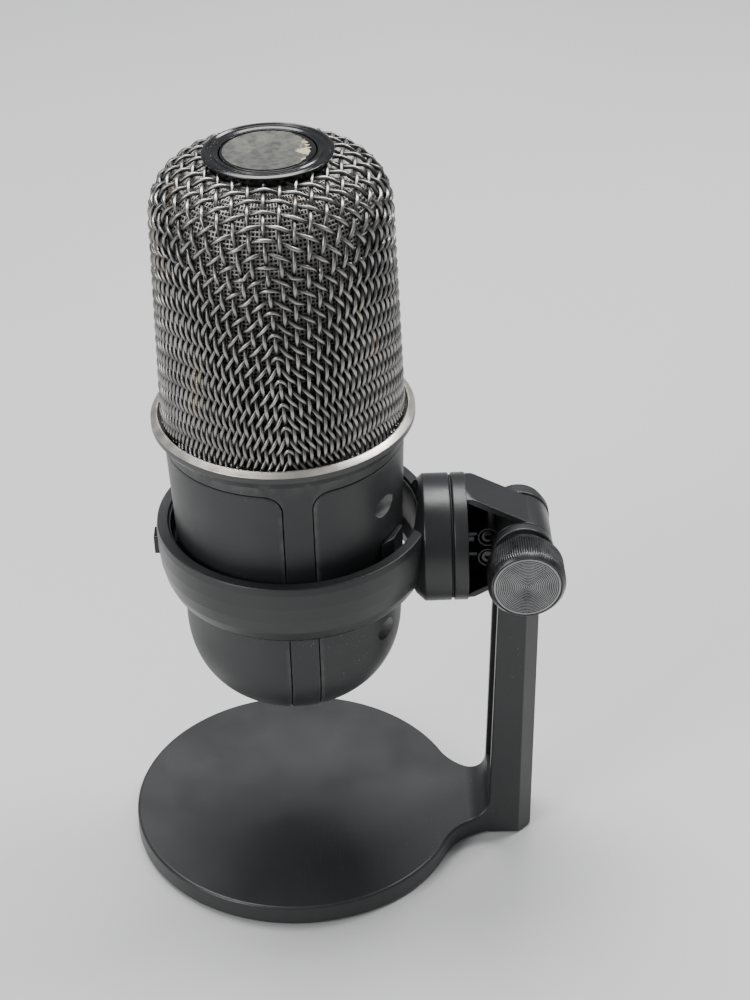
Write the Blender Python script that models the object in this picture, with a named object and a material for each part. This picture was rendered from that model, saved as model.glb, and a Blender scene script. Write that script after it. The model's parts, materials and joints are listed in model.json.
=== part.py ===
"""Desktop microphone on a tilting stand.

The origin is the middle of the round base, on the desk. +Z is up, +X points from the microphone
to the post, and the thumb knob is on the -Y side. Lengths below are millimetres.
"""

import math

import bmesh
import bpy

MM = 0.001
GAP = 0.3  # clearance between pieces that rest on each other

# Base plate and post
BASE_RADIUS = 38.25
BASE_TOP = 5.5
SKIRT_BOTTOM = 0.5  # the plastic rim stays this far above the desk
EDGE_BEVEL = 0.8
POST_HALF_WIDTH = 8.45
POST_BACK = 55.0
POST_FRONT_LOW = 44.8
POST_FRONT_HIGH = 45.7
POST_CHAMFER = 3.1
POST_TOP = 75.0
NECK_FILLET = 14.0
FOOT_FILLET = 5.0
CHANNEL_HALF_WIDTH = 6.0
CHANNEL_BACK = 52.6
CHANNEL_FLOOR = 12.5
WEB_TOP = 72.6
EAR_RADIUS = 6.9
PAD_RADIUS = 35.7
PAD_THICKNESS = 1.3
PAD_POCKET_TOP = 1.6
WEIGHT_RADIUS = 33.0
WEIGHT_LOW, WEIGHT_HIGH = 1.8, 3.6
WEIGHT_SCREW_CIRCLE = 24.0

# Tilt pivot
PIVOT_X, PIVOT_Z = 50.7, 80.25
TILT_AT_REST = -1.26  # degrees: the top of the microphone leans away from the post
BOLT_RADIUS = 2.4
KNOB_RADIUS = 8.45
KNOB_BACK, KNOB_FRONT = -12.7, -20.3
KNOB_FACE_RADIUS = 7.2

# Tilt bracket, measured from the pivot
DISC_RADIUS = 14.1
DISC_FACE, DISC_BACK = -15.1, -12.0
KNUCKLE_RADIUS = 6.7
KNUCKLE_HALF_WIDTH = 5.7
FAIRING_HALF_WIDTH = 5.5
FAIRING_WALL = 2.0
BOSS_X, BOSS_Z = -7.4, 2.65
STUD_RADIUS = 4.76

# Microphone: its axis stands this far in front of the pivot, and its flange this far above the arm
REACH = 50.6
FLANGE_HEIGHT = 34.6
BODY_TURN = 6.5  # degrees: the body sits turned this much in its cradle

# Body, measured from the flange plane
BODY_DOME_RADIUS, BODY_DOME_START, BODY_DOME_DEPTH, BODY_DOME_POWER = 24.0, -50.0, 22.0, 2.4
BODY_TAPER = 0.035
SHELL_WALL = 2.0
STRIP_HALF_WIDTH = 3.0
COLLAR_LOW = -6.0
COLLAR_FILLET = 4.0
POCKETS = ((16.4, -16.6), (14.8, -50.0))  # distance from the middle plane, height
POCKET_RADIUS = 2.4
POCKET_FLOOR = 14.0
USB_HEIGHT = -57.0
LIGHT_HEIGHT = -12.0

# Grille, measured from the flange plane
GRILLE_FOOT_RADIUS = 26.15
GRILLE_RADIUS, GRILLE_SHOULDER, GRILLE_RISE, GRILLE_POWER = 25.0, 44.0, 15.3, 3.0
GRILLE_MOUTH = 12.3
WEAVE_THICKNESS = 1.7
FLANGE_RADIUS = 28.06
CAP_RADIUS = 13.25
CAP_TOP = 59.56
LABEL_RADIUS = 9.2

# Cradle ring and its neck
RING_SHIFT = 1.0  # the ring is set this far towards the post
NECK_FACE = 35.0
NECK_HEIGHT = -FLANGE_HEIGHT

# Capsule
CAPSULE_HEIGHT = 34.0
CAPSULE_RADIUS = 7.0


def material(name, colour, roughness, metallic=0.0):
    made = bpy.data.materials.new(name)
    made.use_nodes = True
    shader = made.node_tree.nodes["Principled BSDF"]
    shader.inputs["Base Color"].default_value = (*colour, 1.0)
    shader.inputs["Roughness"].default_value = roughness
    shader.inputs["Metallic"].default_value = metallic
    made.diffuse_color = (*colour, 1.0)
    return made


def empty(name, location, parent=None, turn=(0.0, 0.0, 0.0)):
    made = bpy.data.objects.new(name, None)
    bpy.context.scene.collection.objects.link(made)
    made.parent = parent
    made.location = [value * MM for value in location]
    made.rotation_euler = [math.radians(value) for value in turn]
    made.empty_display_size = 0.01
    return made


def finished(bm, name, surface, parent):
    """Turns a mesh under construction into a named object, closed and facing out."""
    bmesh.ops.recalc_face_normals(bm, faces=bm.faces)
    mesh = bpy.data.meshes.new(name)
    bm.to_mesh(mesh)
    bm.free()
    if mesh.polygons:
        mesh.shade_smooth()
        mesh.set_sharp_from_angle(angle=math.radians(35))
    made = bpy.data.objects.new(name, mesh)
    bpy.context.scene.collection.objects.link(made)
    made.parent = parent
    if surface:
        mesh.materials.append(surface)
    return made


def helper(made):
    """Marks an object as a tool for a Boolean, which isn't part of the microphone."""
    made.hide_render = True
    made.display_type = "WIRE"
    return made


def combine(target, tool, operation):
    modifier = target.modifiers.new(tool.name, "BOOLEAN")
    modifier.object = helper(tool)
    modifier.operation = operation
    modifier.solver = "EXACT"


def along(axis, a, b, height):
    """A point with `height` along the axis, and a and b across it."""
    spots = {"Z": (a, b, height), "X": (height, a, b), "Y": (a, height, b)}
    return [value * MM for value in spots[axis]]


def bridge(bm, low, high):
    """Faces between two rings of points, either of which may be a single point."""
    count = max(len(low), len(high))
    for k in range(count):
        j = (k + 1) % count
        corners = []
        for vert in (low[k % len(low)], low[j % len(low)], high[j % len(high)], high[k % len(high)]):
            if vert not in corners:
                corners.append(vert)
        bm.faces.new(corners)


def turned(name, outline, surface=None, parent=None, axis="Z", centre=(0.0, 0.0), steps=48):
    """A body turned about an axis from a closed outline of (radius, height) points."""
    bm = bmesh.new()
    rings = []
    for radius, height in outline:
        spots = steps if radius > 0 else 1
        ring = []
        for k in range(spots):
            angle = math.tau * k / steps
            across = (centre[0] + radius * math.cos(angle), centre[1] + radius * math.sin(angle))
            ring.append(bm.verts.new(along(axis, *across, height)))
        rings.append(ring)
    for low, high in zip(rings, rings[1:] + rings[:1]):
        if len(low) + len(high) > 2:
            bridge(bm, low, high)
    return finished(bm, name, surface, parent)


def drum(name, radius, low, high, surface=None, parent=None, axis="Z", centre=(0.0, 0.0), steps=20):
    outline = [(0, low), (radius, low), (radius, high), (0, high)]
    return turned(name, outline, surface, parent, axis, centre, steps)


def washer(name, inner, outer, low, high, surface=None, parent=None, axis="Z", centre=(0.0, 0.0)):
    outline = [(inner, low), (outer, low), (outer, high), (inner, high)]
    return turned(name, outline, surface, parent, axis, centre, steps=24)


def lofted(name, rings, surface=None, parent=None):
    """A closed body through rings of equally many (x, y, z) points, with flat ends."""
    bm = bmesh.new()
    made = [[bm.verts.new([value * MM for value in point]) for point in ring] for ring in rings]
    for low, high in zip(made, made[1:]):
        bridge(bm, low, high)
    bm.faces.new(made[0])
    bm.faces.new(made[-1])
    return finished(bm, name, surface, parent)


def prism(name, outline, low, high, surface=None, parent=None, axis="Z"):
    rings = [[[v / MM for v in along(axis, a, b, end)] for a, b in outline] for end in (low, high)]
    return lofted(name, rings, surface, parent)


def block(name, x, y, z, surface=None, parent=None):
    outline = [(x[0], y[0]), (x[1], y[0]), (x[1], y[1]), (x[0], y[1])]
    return prism(name, outline, z[0], z[1], surface, parent)


def arc(centre, radius, start, end, steps):
    """Points on a circle from one angle to another, in degrees."""
    points = []
    for k in range(steps + 1):
        angle = math.radians(start + (end - start) * k / steps)
        points.append((centre[0] + radius * math.cos(angle), centre[1] + radius * math.sin(angle)))
    return points


def inset(outline, distance):
    """The outline moved inwards, for one that runs anticlockwise."""
    moved = []
    for k, (x, y) in enumerate(outline):
        before, after = outline[k - 1], outline[(k + 1) % len(outline)]
        normals = []
        for (ax, ay), (bx, by) in ((before, (x, y)), ((x, y), after)):
            length = math.hypot(bx - ax, by - ay)
            normals.append(((ay - by) / length, (bx - ax) / length))
        nx, ny = normals[0][0] + normals[1][0], normals[0][1] + normals[1][1]
        scale = 2 * distance / (nx * nx + ny * ny)
        moved.append((x + nx * scale, y + ny * scale))
    return moved


def body_radius(height):
    """Outer radius of the microphone's body at a height below the flange."""
    if height >= BODY_DOME_START:
        return BODY_DOME_RADIUS + (height - BODY_DOME_START) * BODY_TAPER
    depth = min((BODY_DOME_START - height) / BODY_DOME_DEPTH, 1.0)
    return BODY_DOME_RADIUS * (1 - depth**BODY_DOME_POWER) ** (1 / BODY_DOME_POWER)


def dome_outline(top, offset, rows):
    """Half outline of the body, offset inwards, from the axis at the bottom up to a height."""
    radius, depth = BODY_DOME_RADIUS - offset, BODY_DOME_DEPTH - offset
    power = 2 / BODY_DOME_POWER
    points = [(0.0, BODY_DOME_START - depth)]
    for k in range(1, rows + 1):
        angle = math.pi / 2 * k / rows
        around = math.sin(angle) ** power
        points.append((radius * around, BODY_DOME_START - depth * max(math.cos(angle), 0.0) ** power))
    points.append((body_radius(top) - offset, top))
    return points


def grille_outline(offset, rows, foot):
    """Half outline of the grille, offset inwards, from its foot up to its mouth."""
    scale_r, scale_h = GRILLE_RADIUS - offset, GRILLE_RISE - offset
    points = [(GRILLE_FOOT_RADIUS - offset, foot)]
    mouth = math.acos(min(GRILLE_MOUTH / scale_r, 1.0) ** (GRILLE_POWER / 2))
    for k in range(rows + 1):
        angle = mouth * k / rows
        radius = scale_r * math.cos(angle) ** (2 / GRILLE_POWER)
        height = GRILLE_SHOULDER + scale_h * math.sin(angle) ** (2 / GRILLE_POWER)
        points.append((radius, height))
    return points


def build_stand(parts):
    plastic, steel, rubber = parts["charcoal_plastic"], parts["zinc_steel"], parts["rubber"]
    reach = BASE_RADIUS + NECK_FILLET
    side = POST_HALF_WIDTH + NECK_FILLET
    fillet_x = math.sqrt(reach**2 - side**2)
    meet = math.degrees(math.atan2(side, fillet_x))
    neck_far = arc((fillet_x, side), NECK_FILLET, -90, meet - 180, 8)
    rim = arc((0, 0), BASE_RADIUS, meet, 360 - meet, 48)
    neck_near = [(x, -y) for x, y in reversed(neck_far)]
    corner = POST_CHAMFER
    back = [
        (POST_BACK - corner, -POST_HALF_WIDTH),
        (POST_BACK, corner - POST_HALF_WIDTH),
        (POST_BACK, POST_HALF_WIDTH - corner),
        (POST_BACK - corner, POST_HALF_WIDTH),
    ]
    outline = neck_far[:-1] + rim + neck_near[1:] + back
    levels = (
        (SKIRT_BOTTOM, 0.4),
        (SKIRT_BOTTOM + 0.4, 0.0),
        (BASE_TOP - EDGE_BEVEL, 0.0),
        (BASE_TOP, EDGE_BEVEL),
    )
    plate = [[(x, y, z) for x, y in (inset(outline, pull) if pull else outline)] for z, pull in levels]
    frame = lofted("stand_frame", plate, plastic)

    fillet = arc((POST_FRONT_LOW - FOOT_FILLET, BASE_TOP + FOOT_FILLET), FOOT_FILLET, -90, 0, 6)
    sunk = BASE_TOP - 1.2
    inside = POST_FRONT_LOW + 2
    foot = [(fillet[0][0], sunk)] + fillet + [(inside, fillet[-1][1]), (inside, sunk)]
    wide = POST_HALF_WIDTH
    combine(frame, prism("foot_fillet", foot, -wide, wide, axis="Y"), "UNION")
    post = []
    for z, front in ((sunk, POST_FRONT_LOW), (POST_TOP, POST_FRONT_HIGH)):
        ring = [(front, POST_HALF_WIDTH), (front, -POST_HALF_WIDTH)] + back
        post.append([(x, y, z) for x, y in ring])
    combine(frame, lofted("post_core", post), "UNION")
    pivot = (PIVOT_X, PIVOT_Z)
    ear = [(POST_BACK, 64.0)] + arc(pivot, EAR_RADIUS, -25, 205, 18) + [(POST_FRONT_HIGH - 0.1, 62.0)]
    for side_name, sign in (("near", -1), ("far", 1)):
        span = sorted((sign * (CHANNEL_HALF_WIDTH - 1), sign * POST_HALF_WIDTH))
        combine(frame, prism("ear_" + side_name, ear, *span, axis="Y"), "UNION")
    half = CHANNEL_HALF_WIDTH
    channel = block("channel", (40, CHANNEL_BACK), (-half, half), (CHANNEL_FLOOR, 90))
    combine(frame, channel, "DIFFERENCE")
    slot = block("ear_slot", (CHANNEL_BACK - 1, 60), (-half, half), (WEB_TOP, 90))
    combine(frame, slot, "DIFFERENCE")
    bolt_hole = drum("bolt_hole", BOLT_RADIUS + GAP, -12, 12, axis="Y", centre=pivot)
    combine(frame, bolt_hole, "DIFFERENCE")
    pad_pocket = drum("pad_pocket", PAD_RADIUS + GAP, -1, PAD_POCKET_TOP, steps=40)
    combine(frame, pad_pocket, "DIFFERENCE")
    weight_pocket = drum("weight_pocket", WEIGHT_RADIUS + GAP, -1, WEIGHT_HIGH + GAP, steps=40)
    combine(frame, weight_pocket, "DIFFERENCE")

    weight = drum("base_weight", WEIGHT_RADIUS, WEIGHT_LOW, WEIGHT_HIGH, steel, steps=40)
    for k in range(3):
        angle = math.tau * (k + 0.5) / 3
        centre = (WEIGHT_SCREW_CIRCLE * math.cos(angle), WEIGHT_SCREW_CIRCLE * math.sin(angle))
        blind = drum(f"screw_blind_{k + 1}", 1.35, 3, BASE_TOP - 0.5, centre=centre, steps=12)
        combine(frame, blind, "DIFFERENCE")
        stepped = [(0, 1), (2.6, 1), (2.6, 2.75), (1.4, 2.75), (1.4, 5), (0, 5)]
        combine(weight, turned(f"screw_hole_{k + 1}", stepped, centre=centre, steps=20), "DIFFERENCE")
        shape = [(0, 1.85), (2.2, 1.85), (2.2, 2.45), (1.05, 2.45), (1.05, 4.7), (0, 4.7)]
        turned(f"weight_screw_{k + 1}", shape, parts["black_steel"], centre=centre, steps=12)
    pad = [
        (0, 0),
        (PAD_RADIUS - 0.3, 0),
        (PAD_RADIUS, 0.3),
        (PAD_RADIUS, PAD_THICKNESS),
        (0, PAD_THICKNESS),
    ]
    turned("foot_pad", pad, rubber, steps=40)


def build_pivot(parts, pivot):
    """The clamp bolt with its cap on one side of the post, and the thumb knob on the other."""
    ear = POST_HALF_WIDTH + GAP
    bolt = [
        (0, ear + 1.2),
        (4.2, ear + 1.2),
        (4.2, ear),
        (BOLT_RADIUS, ear),
        (BOLT_RADIUS, -16.0),
        (0, -16.0),
    ]
    turned("pivot_bolt", bolt, parts["zinc_steel"], pivot, "Y", steps=24)
    cap = [
        (0, 10.9),
        (5.6, 10.9),
        (6.2, 10.3),
        (6.2, ear),
        (4.6, ear),
        (4.6, 10.25),
        (0, 10.25),
    ]
    turned("bolt_cap", cap, parts["charcoal_plastic"], pivot, "Y", steps=24)
    washer("knob_washer", BOLT_RADIUS + 0.35, 5.6, -ear - 0.6, -ear, parts["zinc_steel"], pivot, "Y")
    shoulder = -ear - 0.9
    knob = [
        (BOLT_RADIUS + GAP, shoulder),
        (6.6, shoulder),
        (6.6, KNOB_BACK),
        (KNOB_RADIUS - 0.4, KNOB_BACK),
        (KNOB_RADIUS, KNOB_BACK - 0.4),
        (KNOB_RADIUS, KNOB_FRONT + 1.1),
        (KNOB_FACE_RADIUS + 0.45, KNOB_FRONT),
        (KNOB_FACE_RADIUS + GAP, KNOB_FRONT),
        (KNOB_FACE_RADIUS + GAP, KNOB_FRONT + 1.1),
        (0, KNOB_FRONT + 1.1),
        (0, -16.6),
        (BOLT_RADIUS + GAP, -16.6),
    ]
    turned("knob_body", knob, parts["dark_metal"], pivot, "Y", steps=24)
    metal, face = parts["dark_metal"], KNOB_FRONT + 0.8
    drum("knob_face", KNOB_FACE_RADIUS, KNOB_FRONT, face, metal, pivot, "Y", steps=32)


def build_bracket(parts, tilt):
    plastic = parts["charcoal_plastic"]
    disc = [
        (0, DISC_FACE),
        (DISC_RADIUS - 0.4, DISC_FACE),
        (DISC_RADIUS, DISC_FACE + 0.4),
        (DISC_RADIUS, DISC_BACK),
        (0, DISC_BACK),
    ]
    bracket = turned("tilt_bracket", disc, plastic, tilt, "X", steps=40)

    # The fairing narrows from the disc to the knuckle, along the two tangents to the knuckle.
    corner_x, corner_z = DISC_BACK - 0.5, DISC_RADIUS - 0.1
    reach = math.hypot(corner_x, corner_z)
    toward = math.degrees(math.atan2(corner_z, corner_x))
    touch = toward - math.degrees(math.acos(KNUCKLE_RADIUS / reach))
    bend = arc((0, 0), KNUCKLE_RADIUS - 0.25, touch, -touch, 12)
    crown = [(corner_x, corner_z)] + bend + [(corner_x, -corner_z)]
    width = FAIRING_HALF_WIDTH
    fairing = prism("fairing", crown, -width, width, parent=tilt, axis="Y")
    rounding = drum("fairing_round", corner_z, -20, 20, parent=tilt, axis="X", steps=40)
    combine(fairing, rounding, "INTERSECT")
    combine(bracket, fairing, "UNION")
    knuckle = KNUCKLE_HALF_WIDTH
    barrel = [
        (0, -knuckle),
        (KNUCKLE_RADIUS - 0.4, -knuckle),
        (KNUCKLE_RADIUS, 0.4 - knuckle),
        (KNUCKLE_RADIUS, knuckle - 0.4),
        (KNUCKLE_RADIUS - 0.4, knuckle),
        (0, knuckle),
    ]
    combine(bracket, turned("knuckle", barrel, parent=tilt, axis="Y", steps=28), "UNION")
    slope = math.tan(math.radians(90 - touch))
    inner_z = corner_z - FAIRING_WALL
    end_x = -KNUCKLE_RADIUS * 0.86
    start_x = DISC_BACK + 0.05
    hollow = [
        (start_x, inner_z),
        (end_x, inner_z - (end_x - DISC_BACK) * slope),
        (-KNUCKLE_RADIUS - 0.3, 0),
        (end_x, (end_x - DISC_BACK) * slope - inner_z),
        (start_x, -inner_z),
    ]
    combine(bracket, prism("window", hollow, -8, 8, parent=tilt, axis="Y"), "DIFFERENCE")
    for name, z in (("upper", BOSS_Z), ("lower", -BOSS_Z)):
        post = drum(f"boss_{name}", 2.3, -4.9, 3.4, parent=tilt, axis="Y", centre=(BOSS_X, z))
        combine(bracket, post, "UNION")
        span = (DISC_BACK - 0.5, BOSS_X - 1.8)
        rib = block(f"rib_{name}", span, (-3.0, 3.2), (z - 0.45, z + 0.45), None, tilt)
        combine(bracket, rib, "UNION")
        bore = [(0, -6), (1.9, -6), (1.9, -3.3), (1.2, -3.3), (1.2, 5), (0, 5)]
        drill = turned(f"boss_bore_{name}", bore, parent=tilt, axis="Y", centre=(BOSS_X, z), steps=20)
        combine(bracket, drill, "DIFFERENCE")
        shape = [(0, -4.6), (1.55, -4.6), (1.55, -3.6), (0.9, -3.6), (0.9, 4.6), (0, 4.6)]
        turned(f"bracket_screw_{name}", shape, parts["black_steel"], tilt, "Y", (BOSS_X, z), 12)
    combine(bracket, drum("pivot_bore", BOLT_RADIUS + GAP, -8, 8, parent=tilt, axis="Y"), "DIFFERENCE")
    for name, sign in (("near", -1), ("far", 1)):
        low, high = sorted((sign * (knuckle - 0.9), sign * (knuckle + 1)))
        seat = drum(f"seat_{name}", 4.6, low, high, parent=tilt, axis="Y", steps=32)
        combine(bracket, seat, "DIFFERENCE")
        ring = sorted((sign * (knuckle - 0.6), sign * (knuckle + 0.1)))
        washer(f"friction_washer_{name}", 2.75, 4.3, *ring, parts["fibre"], tilt, "Y")
    stud_bore = drum("stud_bore", 1.5, DISC_FACE - 2, DISC_BACK + 2, parent=tilt, axis="X", steps=20)
    combine(bracket, stud_bore, "DIFFERENCE")

    # The cover closes the far side of the fairing, a hair inside its edges.
    top = inner_z - GAP * 1.4
    cover = [
        (DISC_BACK + GAP, top),
        (end_x - GAP, top - (end_x - GAP - DISC_BACK) * slope),
        (-KNUCKLE_RADIUS - 2 * GAP, 0),
        (end_x - GAP, (end_x - GAP - DISC_BACK) * slope - top),
        (DISC_BACK + GAP, -top),
    ]
    plate = prism("bracket_cover", cover, 3.7, FAIRING_HALF_WIDTH, plastic, tilt, axis="Y")
    for name, z in (("upper", BOSS_Z), ("lower", -BOSS_Z)):
        spot = (BOSS_X, z)
        blind = drum(f"cover_blind_{name}", 1.2, 3, 5.0, parent=tilt, axis="Y", centre=spot, steps=12)
        combine(plate, blind, "DIFFERENCE")

    stud = [
        (1.5, DISC_FACE - GAP),
        (STUD_RADIUS, DISC_FACE - GAP),
        (STUD_RADIUS, DISC_FACE - 4.6),
        (STUD_RADIUS - 0.5, DISC_FACE - 5.1),
        (1.5, DISC_FACE - 5.1),
    ]
    turned("mount_stud", stud, parts["zinc_steel"], tilt, "X", steps=24)
    head = DISC_BACK + GAP
    screw = [
        (0, head + 1.4),
        (1.8, head + 1.4),
        (1.8, head),
        (1.2, head),
        (1.2, DISC_FACE - 4.6),
        (0, DISC_FACE - 4.6),
    ]
    turned("stud_screw", screw, parts["black_steel"], tilt, "X", steps=20)


def build_cradle(parts, mic):
    plastic = parts["charcoal_plastic"]
    section = [
        (25.65, -41.9),
        (26.9, -41.8),
        (28.0, -40.6),
        (29.0, -38.2),
        (29.7, -35.0),
        (30.0, -31.5),
        (30.0, -28.0),
        (29.7, -26.4),
        (27.5, -26.4),
        (27.3, -27.2),
        (26.9, -27.2),
        (26.9, -37.0),
        (25.65, -39.5),
    ]
    shift = (RING_SHIFT, 0.0)
    ring = turned("cradle_ring", section, plastic, mic, centre=shift, steps=44)
    arm = (0.0, NECK_HEIGHT)
    neck = [
        (0, 20),
        (11.4, 20),
        (11.4, 26.4),
        (14.1, 29.2),
        (14.1, NECK_FACE - 0.4),
        (13.7, NECK_FACE),
        (0, NECK_FACE),
    ]
    socket = turned("neck", neck, parent=mic, axis="X", centre=arm, steps=36)
    hollow = drum("neck_hollow", 27.4, -60, -10, parent=mic, centre=shift, steps=44)
    combine(socket, hollow, "DIFFERENCE")
    combine(ring, socket, "UNION")
    bore = drum("adapter_bore", 8.2, 29.6, 40, parent=mic, axis="X", centre=arm, steps=32)
    combine(ring, bore, "DIFFERENCE")
    low, high = NECK_FACE - 1, NECK_FACE + 5
    seat = washer("washer_seat", 9.5, 12.6, low, high, parent=mic, axis="X", centre=arm)
    combine(ring, seat, "DIFFERENCE")
    washer("swivel_washer", 9.8, 12.3, NECK_FACE - 0.7, NECK_FACE + 0.2, parts["fibre"], mic, "X", arm)
    washer("thread_adapter", 5.1, 7.9, 29.9, NECK_FACE - 0.3, parts["brass"], mic, "X", arm)

    # A small plug fills the moulding point on the front of the ring.
    front = RING_SHIFT - 30.0
    pocket = block("tab_pocket", (front - 2, front + 1.2), (-3.6, 1.2), (-34.6, -29.6), None, mic)
    combine(ring, pocket, "DIFFERENCE")
    black = parts["gloss_black"]
    block("ring_tab", (front - 0.7, front + 0.9), (-3.3, 0.9), (-34.3, -29.9), black, mic)

    # The key sits between the body and the ring, and keeps the body from turning.
    key = [(19.6, -16.25), (22.6, -13.5), (24.6, -8.6), (23.6, -8.3), (21.9, -12.0)]
    prism("cradle_key", key, -31.5, -25.3, plastic, mic)


def build_body(parts, body):
    plastic = parts["body_plastic"]

    def wall(name, surface=None):
        outer = dome_outline(-1.6, 0.0, 8)
        inner = dome_outline(-1.6, SHELL_WALL, 5)
        return turned(name, outer + inner[::-1], surface, body, steps=36)

    # The side strips widen into the collar with a fillet on each side.
    edge, low, bend = STRIP_HALF_WIDTH, COLLAR_LOW, COLLAR_FILLET
    left = arc((-edge - bend, low - bend), bend, 0, 90, 6)
    right = [(-x, z) for x, z in reversed(left)]
    strip = [(-edge, -80)] + left + [(-40, low), (-40, 5), (40, 5), (40, low)] + right + [(edge, -80)]
    chassis = wall("chassis", plastic)
    combine(chassis, prism("strip_region", strip, -40, 40, parent=body, axis="Y"), "INTERSECT")

    shells = {}
    for name, sign in (("front_shell", -1), ("rear_shell", 1)):
        bent = arc((edge + GAP + bend, low - GAP - bend), bend, 180, 90, 6)
        region = [(edge + GAP, -80)] + bent + [(40, low - GAP), (40, -80)]
        region = [(sign * x, z) for x, z in region]
        shells[name] = wall(name, plastic)
        kept = prism(name + "_region", region, -40, 40, parent=body, axis="Y")
        combine(shells[name], kept, "INTERSECT")

    solid = dome_outline(-6.5, 0.6, 6)
    number = 0
    for across, height in POCKETS:
        for sign in (-1, 1):
            number += 1
            spot = (sign * across, height)
            tube = drum(f"pocket_tube_{number}", 3.6, 4.0, 24, parent=body, axis="X", centre=spot)
            inside = turned(f"pocket_limit_{number}", solid + [(0, -6.5)], parent=body, steps=32)
            combine(tube, inside, "INTERSECT")
            combine(shells["rear_shell"], tube, "UNION")
            bore = [
                (0, 2),
                (1.4, 2),
                (1.4, POCKET_FLOOR - 4),
                (POCKET_RADIUS, POCKET_FLOOR - 4),
                (POCKET_RADIUS, 30),
                (0, 30),
            ]
            drill = turned(f"pocket_{number}", bore, parent=body, axis="X", centre=spot, steps=12)
            combine(shells["rear_shell"], drill, "DIFFERENCE")
            boss = drum(f"front_boss_{number}", 2.6, -24, 3.6, parent=body, axis="X", centre=spot)
            inner = turned(f"boss_limit_{number}", solid + [(0, -6.5)], parent=body, steps=32)
            combine(boss, inner, "INTERSECT")
            combine(shells["front_shell"], boss, "UNION")
            name = f"boss_hole_{number}"
            hole = drum(name, 1.35, -9, 6, parent=body, axis="X", centre=spot, steps=12)
            combine(shells["front_shell"], hole, "DIFFERENCE")
            head = POCKET_FLOOR - 4 + GAP
            top = head + 1.6
            shape = [(0, top), (2.0, top), (2.0, head), (1.0, head), (1.0, -8.0), (0, -8.0)]
            turned(f"shell_screw_{number}", shape, parts["black_steel"], body, "X", spot, 12)

    low, high = USB_HEIGHT - 2.0, USB_HEIGHT + 2.0
    usb_slot = block("usb_slot", (10, 30), (-4.8, 4.8), (low, high), None, body)
    combine(shells["rear_shell"], usb_slot, "DIFFERENCE")
    spot = (0, LIGHT_HEIGHT)
    light_hole = drum("light_hole", 1.3, -30, -10, parent=body, axis="X", centre=spot, steps=12)
    combine(shells["front_shell"], light_hole, "DIFFERENCE")


def build_insides(parts, body):
    frame = drum("inner_frame", 22.9, -5.0, -3.4, parts["black_nylon"], body, steps=32)
    yoke = block("yoke", (-3, 3), (-5, 5), (-4.0, CAPSULE_HEIGHT - 9.6), None, body)
    combine(frame, yoke, "UNION")
    spine = block("spine", (-1, 1), (-11.5, 11.5), (-56, -4.4), None, body)
    combine(frame, spine, "UNION")

    board = block("main_board", (3.0, 4.6), (-10.5, 10.5), (-56, -9), parts["circuit_board"], body)
    for number, (across, height) in enumerate(((7.5, -20.0), (-7.5, -42.0)), 1):
        spot = (across, height)
        for piece, low, high in ((frame, -4, 4), (board, 2, 6)):
            name = f"{piece.name}_hole_{number}"
            hole = drum(name, 1.1, low, high, parent=body, axis="X", centre=spot, steps=12)
            combine(piece, hole, "DIFFERENCE")
        shape = [(0, 5.9), (1.7, 5.9), (1.7, 4.9), (0.8, 4.9), (0.8, -0.6), (0, -0.6)]
        turned(f"board_screw_{number}", shape, parts["black_steel"], body, "X", spot, 12)

    z, steel = USB_HEIGHT, parts["zinc_steel"]
    socket = block("usb_socket", (15.4, 22.7), (-4.47, 4.47), (z - 1.63, z + 1.63), steel, body)
    mouth = block("usb_mouth", (17.0, 24), (-4.15, 4.15), (z - 1.3, z + 1.3), None, body)
    combine(socket, mouth, "DIFFERENCE")
    tongue = block("usb_tongue", (16.5, 21.5), (-3.3, 3.3), (z - 0.35, z + 0.35), None, body)
    combine(socket, tongue, "UNION")
    block("usb_board", (5.5, 18.2), (-7, 7), (z - 3.2, z - 1.95), parts["circuit_board"], body)

    outer = body_radius(LIGHT_HEIGHT)
    clear, low, high = parts["clear_plastic"], LIGHT_HEIGHT - 0.8, LIGHT_HEIGHT + 0.8
    drum("light_pipe", 1.0, -outer + 0.1, -2.6, clear, body, "X", (0, LIGHT_HEIGHT), 16)
    block("status_led", (-2.3, -1.3), (-0.8, 0.8), (low, high), clear, body)

    middle = (0, CAPSULE_HEIGHT)
    capsule = [
        (0, -3.5),
        (6.4, -3.5),
        (CAPSULE_RADIUS, -2.9),
        (CAPSULE_RADIUS, 2.9),
        (6.4, 3.5),
        (0, 3.5),
    ]
    turned("capsule", capsule, parts["zinc_steel"], body, "X", middle, 24)
    washer("capsule_holder", CAPSULE_RADIUS + GAP, 9.3, -2.8, 2.8, parts["rubber"], body, "X", middle)


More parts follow.
